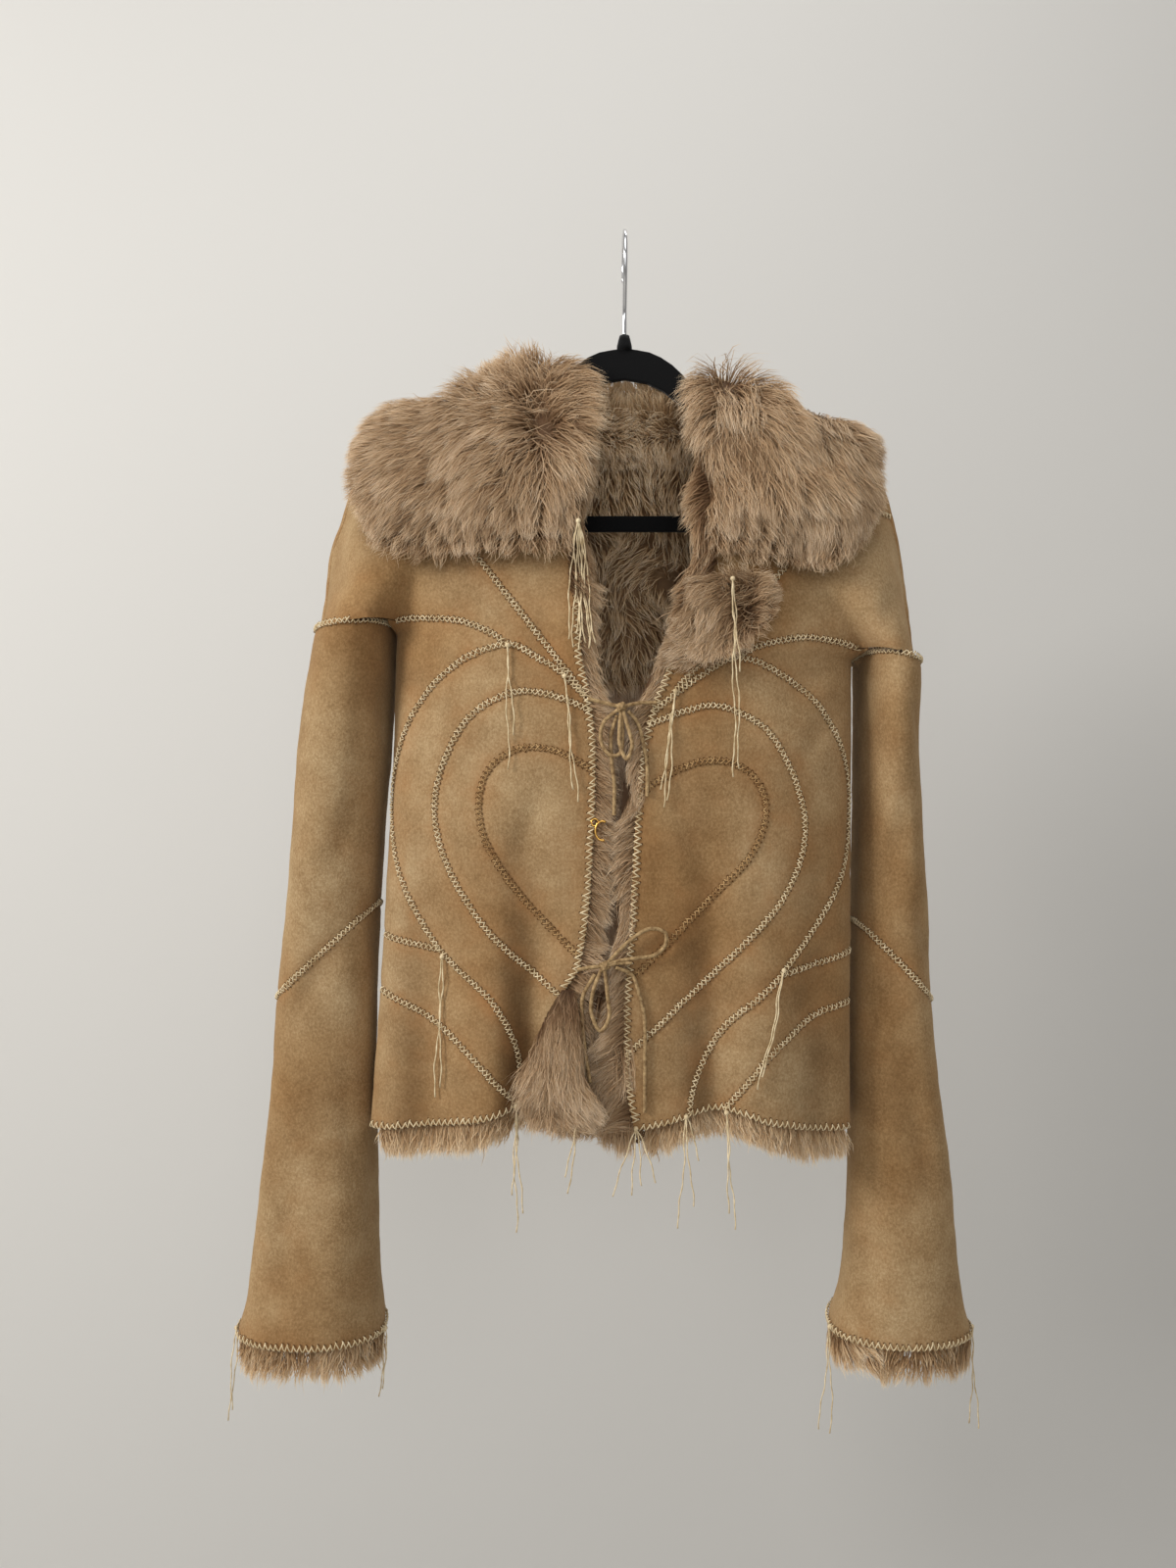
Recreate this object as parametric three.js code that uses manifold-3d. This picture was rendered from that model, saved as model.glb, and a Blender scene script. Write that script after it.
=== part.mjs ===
// Cropped shearling jacket, suede side out, hung open on a slim hanger with a wire hook.
// Millimetres. +X is to the right seen from the front, +Y goes to the back, +Z is up.
// The origin is the underside of the hook's top, where it rests on a rail.
// "left" and "right" are as seen from the front. Every leather piece is a wall cut out of one shell
// along its seams, and every fur piece is a slab that reaches as far as the wool does.
import * as THREE from 'three';
import Module from 'manifold-3d';
import { mergeVertices } from 'three/addons/utils/BufferGeometryUtils.js';

const wasm = await Module();
wasm.setup();

const LEATHER = 2;
const HALF_SEAM = 0.2;
const LIFT = 0.5;
const HANGER_SEAT = 3;
const COLLAR_FUR = 25;
const EDGE_FUR = 8;
const HEM_FUR_DROP = 15;
const CUFF_FUR_DROP = 17;
const LACE = 3;
const THREAD = 1.2;
const NECK_HALF = 71;
const NECK_Z = -118;
const CENTRE = -8;

const LEFT = -1;
const RIGHT = 1;
const FRONT = -1;
const BACK = 1;

// Tables: named columns, one row for each level or station.
function table(names, rows) {
  const out = {};
  const first = rows[0][0];
  const rising = rows[rows.length - 1][0] > first;
  names.slice(1).forEach((name, k) => {
    out[name] = (at) => {
      let i = 0;
      while (i < rows.length - 2 && (rising ? at > rows[i + 1][0] : at < rows[i + 1][0])) i += 1;
      const a = rows[i];
      const b = rows[i + 1];
      const t = Math.min(1, Math.max(0, (at - a[0]) / (b[0] - a[0])));
      const before = rows[Math.max(0, i - 1)];
      const after = rows[Math.min(rows.length - 1, i + 2)];
      const span = b[0] - a[0];
      const slopeA = slope(before, a, b, k + 1);
      const slopeB = slope(a, b, after, k + 1);
      const t2 = t * t;
      const t3 = t2 * t;
      return (2 * t3 - 3 * t2 + 1) * a[k + 1] + (t3 - 2 * t2 + t) * span * slopeA
        + (3 * t2 - 2 * t3) * b[k + 1] + (t3 - t2) * span * slopeB;
    };
  });
  return out;
}

// The slope at the middle row: none where the column turns there.
function slope(a, b, c, k) {
  if (a === b || b === c) return (c[k] - a[k]) / (c[0] - a[0]);
  const left = (b[k] - a[k]) / (b[0] - a[0]);
  const right = (c[k] - b[k]) / (c[0] - b[0]);
  return left * right <= 0 ? 0 : 2 * left * right / (left + right);
}

const smooth = (a, b, v) => (a < b ? THREE.MathUtils.smoothstep(v, a, b) : 1 - THREE.MathUtils.smoothstep(v, b, a));
const mix = (a, b, t) => a + (b - a) * t;

// The ridge over the shoulders and down the outside of the sleeve heads, out to the sleeve.
const RIDGE = {
  [LEFT]: [[-60, -125.6], [-90, -137], [-130, -151.4], [-160, -156], [-180, -161], [-196, -169],
    [-204, -178], [-210, -188], [-215, -201], [-224, -231], [-232, -254], [-236, -289], [-241, -317]],
  [RIGHT]: [[60, -125.6], [90, -137], [130, -151.4], [160, -162.2], [180, -170], [189, -177],
    [198, -189], [206, -206], [211, -224], [216, -246], [221, -280], [226, -318], [229, -344]],
};
const ARMPIT = { [LEFT]: -318, [RIGHT]: -338 };
const CREASE = { [LEFT]: -180, [RIGHT]: 183 };

const outline = {};
const ridgeHeight = {};
for (const side of [LEFT, RIGHT]) {
  outline[side] = table(['z', 'x'], RIDGE[side].map(([x, z]) => [z, x])).x;
  ridgeHeight[side] = table(['x', 'z'], RIDGE[side]).z;
}

// Body below the armpits: side edges and depth factors. The side seam slants forward to the hem.
const BODY = table(['z', 'left', 'right', 'front', 'back'], [
  [-300, -179, 179, 1, 0.95],
  [-340, -180, 178, 1, 0.95],
  [-400, -181, 177, 1.01, 0.95],
  [-470, -184, 176, 1.02, 0.94],
  [-550, -188, 175, 1.01, 0.92],
  [-630, -193, 174, 0.99, 0.9],
  [-720, -199, 174, 0.96, 0.88],
]);
const SIDE_SEAM = { topZ: -310, slant: -20 / 390 };
const sideSeam = (z) => SIDE_SEAM.slant * Math.max(0, SIDE_SEAM.topZ - z);

// Sleeves: outer and inner edge in the front view, and how far they reach forward and back.
const SLEEVE = {
  [LEFT]: table(['z', 'outer', 'inner', 'front', 'back'], [
    [-300, -238, -181.5, 62, 62],
    [-340, -246, -183, 60, 60],
    [-408, -257, -186.5, 52, 55],
    [-467, -262, -191.5, 44, 52],
    [-537, -268, -195.5, 38, 50],
    [-604, -275, -198, 34, 50],
    [-670, -279, -198.5, 33, 52],
    [-748, -288, -197, 34, 54],
    [-810, -295, -196, 36, 56],
    [-842, -299, -193.5, 38, 57],
    [-871, -307, -190.5, 40, 58],
  ]),
  [RIGHT]: table(['z', 'outer', 'inner', 'front', 'back'], [
    [-300, 224, 184, 62, 62],
    [-344, 229, 186, 60, 60],
    [-408, 230, 185.5, 52, 55],
    [-468, 234, 184.5, 44, 52],
    [-537, 239, 182.5, 38, 50],
    [-604, 242, 180.5, 34, 50],
    [-670, 248, 180, 33, 52],
    [-748, 258, 179.5, 34, 54],
    [-810, 263, 176, 36, 56],
    [-842, 267, 172, 38, 57],
    [-871, 275, 162, 40, 58],
  ]),
};
const CUFF_Z = { [LEFT]: -869, [RIGHT]: -868 };

// How far the cloth stands off the hanger's plane at a drop below the ridge.
const TENT = table(['drop', 'depth'], [
  [0, 0], [1, 4], [4, 8.5], [10, 14], [25, 25], [60, 43], [100, 56], [150, 67], [200, 73], [320, 76],
]).depth;

// Soft vertical folds: where each starts and ends, how wide it is, and how far it comes out.
const FOLDS = [
  { face: FRONT, topX: -96, topZ: -330, endX: -103, width: 26, out: 7 },
  { face: FRONT, topX: -72, topZ: -420, endX: -75, width: 16, out: -14 },
  { face: FRONT, topX: -150, topZ: -380, endX: -152, width: 20, out: -5 },
  { face: FRONT, topX: 56, topZ: -390, endX: 64, width: 16, out: -8 },
  { face: FRONT, topX: 105, topZ: -350, endX: 100, width: 26, out: 5 },
  { face: FRONT, topX: 145, topZ: -400, endX: 150, width: 18, out: -4 },
  { face: BACK, topX: -112, topZ: -300, endX: -118, width: 24, out: 6 },
  { face: BACK, topX: -66, topZ: -360, endX: -74, width: 18, out: -9 },
  { face: BACK, topX: 18, topZ: -330, endX: 14, width: 26, out: 5 },
  { face: BACK, topX: 70, topZ: -400, endX: 74, width: 18, out: -8 },
  { face: BACK, topX: 122, topZ: -300, endX: 118, width: 24, out: 5 },
];
const FOLD_END = -700;

function foldsAt(face, x, z) {
  let sum = 0;
  for (const fold of FOLDS) {
    if (fold.face !== face) continue;
    const t = (fold.topZ - z) / (fold.topZ - FOLD_END);
    if (t <= 0) continue;
    const away = (x - mix(fold.topX, fold.endX, t)) / fold.width;
    sum += fold.out * smooth(0, 1, t) * Math.exp(-away * away);
  }
  return sum;
}

const lobe = (u, power) => Math.pow(Math.max(0, 1 - Math.pow(Math.abs(u), power)), 1 / power);
const BODY_POWER = 2.7;
const SLEEVE_POWER = 2.3;

function softMax(a, b, soft) {
  const h = Math.max(0, soft - Math.abs(a - b)) / soft;
  return Math.max(a, b) + h * h * soft / 4;
}

const creaseAt = (side, z) => {
  if (z < ARMPIT[side]) return side === LEFT ? BODY.left(z) : BODY.right(z);
  return side * Math.min(Math.abs(CREASE[side]), 0.88 * Math.abs(outline[side](z)));
};

function sleeveDepth(side, face, x, z) {
  const { outer, inner, front, back } = SLEEVE[side];
  const half = (outer(z) - inner(z)) / 2;
  return (face === FRONT ? front(z) : back(z)) * lobe((x - inner(z) - half) / half, SLEEVE_POWER);
}

// Depth of the shell at a place in the front view, measured from the hanger's plane.
function depthAt(face, x, z) {
  const side = x < CENTRE ? LEFT : RIGHT;
  const drop = Math.max(0.2, ridgeHeight[side](x) - z);
  const tent = TENT(drop);
  const above = z - ARMPIT[side];
  const factor = face === FRONT ? BODY.front(z) : BODY.back(z);
  if (above <= 0) {
    const edge = side === LEFT ? BODY.left(z) : BODY.right(z);
    if (side * (x - edge) > 0.01) return sleeveDepth(side, face, x, z);
    const u = (x - CENTRE) / (edge - CENTRE);
    const inside = smooth(1, 0.8, Math.abs(u));
    const seam = face * sideSeam(z);
    return seam + (tent * factor - seam) * lobe(u, BODY_POWER) + inside * foldsAt(face, x, z);
  }
  const outer = outline[side](z);
  const spread = 0.9 * above;
  const edge = side * Math.min(Math.abs(outer), Math.abs(CREASE[side]) + spread);
  const body = tent * factor * lobe((x - CENTRE) / (edge - CENTRE), BODY_POWER);
  const inner = side * Math.max(70, Math.abs(CREASE[side]) - spread);
  const half = (outer - inner) / 2;
  const head = side * (x - inner) <= 0 ? 0 : tent * 0.98 * lobe((x - inner - half) / half, SLEEVE_POWER);
  return softMax(body, head, 1 + 8 * smooth(0, 60, above));
}

// Across the garment: 0 is the middle, 1 the crease or side seam, 2 the outside of the sleeve head.
function shellX(p, z) {
  const side = p < 0 ? LEFT : RIGHT;
  const crease = creaseAt(side, z);
  const far = Math.abs(p);
  if (far <= 1) return CENTRE + (crease - CENTRE) * far;
  return mix(crease, outline[side](z), far - 1);
}

function shell(face) {
  return (p, z) => {
    const x = shellX(p, z);
    const gap = face === BACK ? 2 * HALF_SEAM : HALF_SEAM;
    return new THREE.Vector3(x, face * (depthAt(face, x, z) + gap), z);
  };
}
const frontShell = shell(FRONT);
const backShell = shell(BACK);

// The front's depth by place, for what lies on it.
const frontY = (x, z) => -depthAt(FRONT, x, z) - HALF_SEAM;
const backY = (x, z) => depthAt(BACK, x, z) + 2 * HALF_SEAM;

// A sleeve ring: one turn, starting and ending at the seam near its outer edge.
const SLEEVE_SEAM = Math.PI * 0.06;
function sleeve(side) {
  return (turn, z) => {
    const at = turn * 2 * Math.PI - SLEEVE_SEAM;
    const c = Math.cos(at);
    const s = Math.sin(at);
    const row = SLEEVE[side];
    const middle = (row.outer(z) + row.inner(z)) / 2;
    const half = (row.outer(z) - row.inner(z)) / 2;
    const reach = s < 0 ? row.front(z) : row.back(z);
    const ripple = 1 + 0.035 * Math.sin(3 * at + z / 70) * smooth(-340, -420, z);
    return new THREE.Vector3(
      middle + half * Math.sign(c) * Math.pow(Math.abs(c), 2 / SLEEVE_POWER),
      reach * ripple * Math.sign(s) * Math.pow(Math.abs(s), 2 / SLEEVE_POWER),
      z,
    );
  };
}

// A patch is a list of [a, b] places on a surface and the triangles between them.
function grid(columns, rows) {
  const places = [];
  const triangles = [];
  for (const row of rows) for (const column of columns) places.push([column, row]);
  const wide = columns.length;
  for (let j = 0; j < rows.length - 1; j += 1) {
    for (let i = 0; i < wide - 1; i += 1) {
      const a = j * wide + i;
      const b = a + wide;
      triangles.push([a, b, b + 1], [a, b + 1, a + 1]);
    }
  }
  return { places, triangles };
}

// Keep the part of a patch where field(a, b) is positive. A corner just inside counts as on the line.
const SNAP = 0.5;
function clip(patch, field) {
  const values = patch.places.map(([a, b]) => {
    const v = field(a, b);
    return v > 0 && v < SNAP ? 0 : v;
  });
  const places = [];
  const known = new Map();
  const keep = (key, place) => {
    if (!known.has(key)) {
      known.set(key, places.length);
      places.push(place);
    }
    return known.get(key);
  };
  const cut = (i, j) => {
    const [lo, hi] = i < j ? [i, j] : [j, i];
    const a = patch.places[lo];
    const b = patch.places[hi];
    let t0 = 0;
    let t1 = 1;
    let v0 = values[lo];
    let v1 = values[hi];
    let t = 0.5;
    for (let round = 0; round < 4; round += 1) {
      t = t0 + (t1 - t0) * v0 / (v0 - v1);
      const v = field(mix(a[0], b[0], t), mix(a[1], b[1], t));
      if (Math.abs(v) < 0.01) break;
      if (v > 0 === v0 > 0) {
        t0 = t;
        v0 = v;
      } else {
        t1 = t;
        v1 = v;
      }
    }
    return keep(`${lo}/${hi}`, [mix(a[0], b[0], t), mix(a[1], b[1], t)]);
  };
  const triangles = [];
  for (const corners of patch.triangles) {
    const ring = [];
    for (let k = 0; k < 3; k += 1) {
      const i = corners[k];
      const j = corners[(k + 1) % 3];
      if (values[i] >= 0) ring.push(keep(`${i}`, patch.places[i]));
      if ((values[i] > 0 && values[j] < 0) || (values[i] < 0 && values[j] > 0)) ring.push(cut(i, j));
    }
    const inside = corners.some((i) => values[i] > 0);
    if (!inside) continue;
    for (let k = 1; k < ring.length - 1; k += 1) triangles.push([ring[0], ring[k], ring[k + 1]]);
  }
  return { places, triangles };
}

// Close two layers of points over the same triangles into one solid, the outer layer facing out.
function closeLayers(triangles, outer, inner) {
  const used = [...new Set(triangles.flat())];
  const index = new Map(used.map((v, i) => [v, i]));
  const count = used.length;
  const points = [...used.map((v) => outer[v]), ...used.map((v) => inner[v])];
  const faces = [];
  const edges = new Map();
  for (const triangle of triangles) {
    const [a, b, c] = triangle.map((v) => index.get(v));
    faces.push([a, b, c], [c + count, b + count, a + count]);
    for (const [i, j] of [[a, b], [b, c], [c, a]]) {
      if (edges.has(`${j}/${i}`)) edges.delete(`${j}/${i}`);
      else edges.set(`${i}/${j}`, [i, j]);
    }
  }
  for (const [i, j] of edges.values()) {
    faces.push([j, i, i + count], [j, i + count, j + count]);
  }
  return geometryOf(points, faces);
}

function geometryOf(points, faces) {
  const geometry = new THREE.BufferGeometry();
  geometry.setAttribute('position', new THREE.Float32BufferAttribute(points.flatMap((p) => [p.x, p.y, p.z]), 3));
  geometry.setIndex(faces.flat());
  return geometry;
}

// The unit normal of a surface at a place, by differences, turned to the side given. The differences
// stay on the body or on the sleeve head, up to its edge.
function normalAt(surface, a, b, flip) {
  const da = 0.004;
  const db = 1.5;
  const far = Math.abs(a) <= 1 ? 1 : 2;
  const within = (v) => THREE.MathUtils.clamp(v, -far, far);
  const along = surface(within(a + da), b).sub(surface(within(a - da), b));
  const down = surface(a, b - db).sub(surface(a, b + db));
  return down.cross(along).normalize().multiplyScalar(flip);
}

const group = new THREE.Group();
const SUEDE = new THREE.Color(0.72, 0.55, 0.36);
const FUR = new THREE.Color(0.78, 0.64, 0.52);
const CREAM = new THREE.Color(0.84, 0.76, 0.6);
const materials = {
  suede: new THREE.MeshStandardMaterial({ color: SUEDE, roughness: 0.95, metalness: 0 }),
  fur: new THREE.MeshStandardMaterial({ color: FUR, roughness: 1, metalness: 0 }),
  thread: new THREE.MeshStandardMaterial({ color: CREAM, roughness: 0.9, metalness: 0 }),
  lace: new THREE.MeshStandardMaterial({ color: new THREE.Color(0.7, 0.53, 0.35), roughness: 0.8, metalness: 0 }),
  velvet: new THREE.MeshStandardMaterial({ color: new THREE.Color(0.02, 0.02, 0.02), roughness: 1, metalness: 0 }),
  chrome: new THREE.MeshStandardMaterial({ color: new THREE.Color(0.8, 0.8, 0.8), roughness: 0.15, metalness: 1 }),
};

function add(name, geometry, material) {
  const mesh = new THREE.Mesh(geometry, materials[material]);
  mesh.name = name;
  group.add(mesh);
}

function addWall(name, patch, surface, flip) {
  const outer = patch.places.map(([a, b]) => surface(a, b));
  const inner = patch.places.map(([a, b], i) => outer[i].clone()
    .addScaledVector(normalAt(surface, a, b, flip), -LEATHER));
  const triangles = flip > 0 ? patch.triangles : patch.triangles.map(([a, b, c]) => [a, c, b]);
  add(name, closeLayers(triangles, outer, inner), 'suede');
}

// Seams in the front view, as closed loops. Beyond the front edge and the hem they run on outside.
const PAST = 60;
function loopField(points, ends) {
  const curve = new THREE.SplineCurve(points.map(([x, z]) => new THREE.Vector2(x, z)));
  const line = curve.getPoints(6 * points.length);
  const ring = [...line, ...ends.map(([x, z]) => new THREE.Vector2(x, z))];
  return (x, z) => {
    let inside = false;
    let near = Infinity;
    for (let i = 0; i < ring.length; i += 1) {
      const a = ring[i];
      const b = ring[(i + 1) % ring.length];
      if ((a.y > z) !== (b.y > z) && x < (b.x - a.x) * (z - a.y) / (b.y - a.y) + a.x) inside = !inside;
      const t = THREE.MathUtils.clamp(((x - a.x) * (b.x - a.x) + (z - a.y) * (b.y - a.y))
        / ((b.x - a.x) ** 2 + (b.y - a.y) ** 2), 0, 1);
      near = Math.min(near, Math.hypot(x - mix(a.x, b.x, t), z - mix(a.y, b.y, t)));
    }
    return inside ? near : -near;
  };
}

// Each half of the nested rings: start at the front edge, crown, shoulder, widest, flank, low end.
const RINGS = {
  [LEFT]: {
    inner: [[-22, -428], [-52, -412], [-80, -410], [-101, -424], [-109, -447], [-104, -478], [-79, -517],
      [-32, -566]],
    middle: [[-20, -386], [-52, -372], [-85, -369], [-120, -390], [-142, -440], [-136, -490], [-101, -545],
      [-42, -598]],
  },
  [RIGHT]: {
    inner: [[8, -443], [40, -424], [69, -419], [92, -430], [102, -454], [92, -486], [59, -522], [6, -576]],
    middle: [[8, -396], [38, -384], [69, -379], [108, -402], [132, -461], [120, -512], [79, -560], [-2, -636]],
  },
};
const OUTER_RING = {
  [LEFT]: [[-24, -380], [-48, -355], [-66, -343], [-89, -333], [-126, -346], [-157, -376], [-175, -415],
    [-180, -458], [-170, -508], [-139, -559], [-101, -594], [-84, -625], [-79, -655], [-78, -720]],
  [RIGHT]: [[16, -385], [30, -374], [56, -355], [81, -343], [110, -352], [145, -378], [166, -415],
    [171, -457], [160, -512], [113, -577], [74, -612], [54, -645], [46, -675], [44, -720]],
};
const UPPER_SEAM = {
  [LEFT]: table(['x', 'z'], [[-260, -319], [-178, -311], [-170, -310.4], [-131, -313], [-105, -322], [-88, -334], [-60, -420]]).z,
  [RIGHT]: table(['x', 'z'], [[60, -420], [80, -344.5], [100, -333], [137, -326.5], [160, -328.8], [170, -330.6],
    [260, -348]]).z,
};
const COLLAR_SEAM = {
  [LEFT]: { high: [-112, -266], low: [-28, -375] },
  [RIGHT]: { high: [120, -272], low: [33, -370] },
};
const LOWER_SEAM = {
  [LEFT]: table(['x', 'z'], [[-230, -543], [-191, -550], [-139, -559], [-90, -567]]).z,
  [RIGHT]: table(['x', 'z'], [[60, -590], [113, -577], [174, -563], [230, -550]]).z,
};
const LOWEST_SEAM = {
  [LEFT]: table(['x', 'z'], [[-240, -575], [-192, -591], [-148, -609], [-116, -635], [-91, -662], [-70, -686]]).z,
  [RIGHT]: table(['x', 'z'], [[60, -690], [84, -661], [105, -636], [144, -607], [174, -601], [240, -590]]).z,
};

// Where the front edges and the hem lie.
const FRONT_EDGE = {
  [LEFT]: table(['z', 'x'], [[-100, -40], [-277, -35], [-337, -34], [-374, -27], [-414, -23.5], [-508, -27],
    [-569, -35], [-592, -47], [-720, -46]]).x,
  [RIGHT]: table(['z', 'x'], [[-100, 60], [-262, 54], [-344, 32], [-380, 17.6], [-414, 9.4], [-533, 2],
    [-615, -2.5], [-655, -1], [-691, 4.7], [-720, 8]]).x,
};
const HEM = table(['x', 'z'], [[-210, -700], [-138, -689], [-88, -678], [-70, -662], [-46, -668], [5, -690],
  [70, -677], [110, -688], [150, -696], [185, -699]]).z;
const BACK_HEM = table(['x', 'z'], [[-210, -700], [-100, -703], [0, -700], [100, -703], [185, -699]]).z;
const BACK_YOKE = table(['x', 'z'], [[-260, -319], [-178, -311], [-160, -309.5], [-60, -297], [50, -300],
  [160, -328.8], [170, -330.6], [260, -348]]).z;
const SHOULDER_SEAM = {
  [LEFT]: (x) => -177 + 0.35 * (-204 - x),
  [RIGHT]: (x) => -224 + 0.1 * (x - 211),
};

const loops = {};
for (const side of [LEFT, RIGHT]) {
  const past = -side * PAST;
  loops[side] = {
    inner: loopField(RINGS[side].inner, [[past, -590], [past, -420]]),
    middle: loopField(RINGS[side].middle, [[past, -640], [past, -386]]),
    outer: loopField(OUTER_RING[side], [[past, -740], [past, -400]]),
  };
}

function collarSeamField(side, x, z) {
  const { high, low } = COLLAR_SEAM[side];
  const run = Math.hypot(low[0] - high[0], low[1] - high[1]);
  const cross = (x - high[0]) * (low[1] - high[1]) - (z - high[1]) * (low[0] - high[0]);
  return -side * cross / run;
}

const neckField = (x, z) => Math.hypot((x - 5) / NECK_HALF, (z - NECK_Z) / 22) * 22 - 22;

// Columns and rows: close together where the cloth turns.
const bodyColumns = [];
for (let k = 0; k <= 7; k += 1) bodyColumns.push(k / 8.6);
bodyColumns.push(0.92, 0.98, 1);
const headColumns = [1.15, 1.5, 1.82, 1.96, 2];
const upperRows = [-122, -132, -146, -162, -178, -194];
const sharedRows = [-214, -236, -258, -280, -300];
const bodyRows = [];
for (let z = -316; z > -724; z -= 25.3) bodyRows.push(z);

const at = (p, z) => shellX(p, z);
const inPlan = (test) => (p, z) => test(at(p, z), z) - HALF_SEAM;

function addFront(side) {
  const name = side === LEFT ? 'left' : 'right';
  const columns = [...bodyColumns, ...headColumns].map((p) => side * p).sort((a, b) => a - b);
  const middle = bodyColumns.slice(1, 3);
  const over = middle.map((p) => -side * p).sort((a, b) => a - b);
  const wide = side === LEFT ? [...columns, ...over] : [...over, ...columns];
  const edge = (p, z) => side * (at(p, z) - FRONT_EDGE[side](z)) - HALF_SEAM;
  const above = (x, z) => z - UPPER_SEAM[side](x);
  const rings = loops[side];
  const top = clip(clip(grid(wide, [...upperRows, ...sharedRows, ...bodyRows.slice(0, 4)]), edge),
    inPlan((x, z) => Math.min(neckField(x, z), -rings.outer(x, z))));
  const topAbove = clip(top, inPlan(above));
  const shoulderCut = (x, z) => z - SHOULDER_SEAM[side](x);
  const collarCut = (x, z) => collarSeamField(side, x, z);
  addWall(`shoulder_${name}`, clip(topAbove, inPlan(shoulderCut)), frontShell, 1);
  const belowShoulder = clip(topAbove, inPlan((x, z) => -shoulderCut(x, z)));
  addWall(`yoke_${name}`, clip(belowShoulder, inPlan(collarCut)), frontShell, 1);
  addWall(`neck_panel_${name}`, clip(belowShoulder, inPlan((x, z) => -collarCut(x, z))), frontShell, 1);

  const bodyOnly = wide.filter((p) => Math.abs(p) <= 1);
  const low = clip(clip(grid(bodyOnly, [sharedRows[4], ...bodyRows]), edge), inPlan((x, z) => z - HEM(x)));
  const ringOuter = clip(low, inPlan(rings.outer));
  addWall(`ring_outer_${name}`, clip(ringOuter, inPlan((x, z) => -rings.middle(x, z))), frontShell, 1);
  const ringMiddle = clip(ringOuter, inPlan(rings.middle));
  addWall(`ring_middle_${name}`, clip(ringMiddle, inPlan((x, z) => -rings.inner(x, z))), frontShell, 1);
  addWall(`ring_centre_${name}`, clip(ringMiddle, inPlan(rings.inner)), frontShell, 1);

  const outside = clip(clip(low, inPlan((x, z) => -rings.outer(x, z))), inPlan((x, z) => -above(x, z) - 1.6 * HALF_SEAM));
  const overLower = (x, z) => z - LOWER_SEAM[side](x);
  const overLowest = (x, z) => z - LOWEST_SEAM[side](x);
  addWall(`side_panel_${name}`, clip(outside, inPlan(overLower)), frontShell, 1);
  const lower = clip(outside, inPlan((x, z) => -overLower(x, z)));
  addWall(`lower_panel_${name}`, clip(lower, inPlan(overLowest)), frontShell, 1);
  addWall(`lowest_panel_${name}`, clip(lower, inPlan((x, z) => -overLowest(x, z))), frontShell, 1);
}
addFront(LEFT);
addFront(RIGHT);

// Back: yoke with both sleeve heads, and the body below it.
const backHalf = [0, 0.24, 0.48, 0.7, 0.87, 0.97, 1];
const backSpan = [...backHalf.map((p) => -p).reverse(), ...backHalf.slice(1)];
const backHeads = [1.3, 1.7, 1.93, 2];
const backAll = [...backHeads.map((p) => -p).reverse(), ...backSpan, ...backHeads];
const backYokeRows = [...upperRows, -218, -246, -274, -300, -320, -342];
const backRows = [-290, -308, -338];
for (let z = -374; z > -700; z -= 36) backRows.push(z);
backRows.push(-708);
const yokePatch = clip(clip(grid(backAll, backYokeRows), inPlan((x, z) => z - BACK_YOKE(x))), inPlan(neckField));
addWall('back_yoke', yokePatch, backShell, -1);
const backPatch = clip(grid(backSpan, backRows), inPlan((x, z) => BACK_YOKE(x) - z - 3 * HALF_SEAM));
addWall('back_body', clip(backPatch, inPlan((x, z) => z - BACK_HEM(x))), backShell, -1);

// Sleeves: an upper tube down to the slanted elbow seam, and the bell below it.
const ELBOW = {
  [LEFT]: (x) => mix(-531, -604, (-196 - x) / 79),
  [RIGHT]: (x) => mix(-543, -606, (x - 181) / 61),
};
const sleeveColumns = [];
const AROUND = 12;
for (let i = 0; i <= AROUND; i += 1) sleeveColumns.push(mix(0.0008, 0.9992, i / AROUND));
function addSleeve(side) {
  const name = side === LEFT ? 'left' : 'right';
  const tube = sleeve(side);
  const rows = [];
  for (let z = -304; z > -900; z -= 41) rows.push(z);
  const all = grid(sleeveColumns, rows);
  const place = (test) => (a, z) => {
    const p = tube(a, z);
    return test(p.x, z, p.y) - HALF_SEAM;
  };
  const headSeam = (x, y) => (y < -2 ? UPPER_SEAM[side](x) : BACK_YOKE(x) - 5 * HALF_SEAM) - 3.6 * HALF_SEAM;
  const belowHead = clip(all, place((x, z, y) => headSeam(x, y) - z));
  const upper = clip(belowHead, place((x, z) => z - ELBOW[side](x) - HALF_SEAM));
  const lower = clip(clip(all, place((x, z) => ELBOW[side](x) - z)), place((x, z) => z - CUFF_Z[side]));
  addWall(`upper_sleeve_${name}`, upper, tube, side === LEFT ? -1 : 1);
  addWall(`lower_sleeve_${name}`, lower, tube, side === LEFT ? -1 : 1);
}
addSleeve(LEFT);
addSleeve(RIGHT);

// A slab between two layers of points on a grid: layer(a, b) gives [outer, inner].
function addSlab(name, columns, rows, layer, material, turned = false) {
  const patch = grid(columns, rows);
  const outer = [];
  const inner = [];
  for (const [a, b] of patch.places) {
    const [o, i] = layer(a, b);
    outer.push(o);
    inner.push(i);
  }
  const triangles = turned ? patch.triangles.map(([a, b, c]) => [a, c, b]) : patch.triangles;
  add(name, closeLayers(triangles, outer, inner), material);
}
const steps = (count) => Array.from({ length: count + 1 }, (unused, i) => i / count);
const point = (x, y, z) => new THREE.Vector3(x, y, z);
const round = (t, power = 4) => lobe(2 * t - 1, power);

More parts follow.
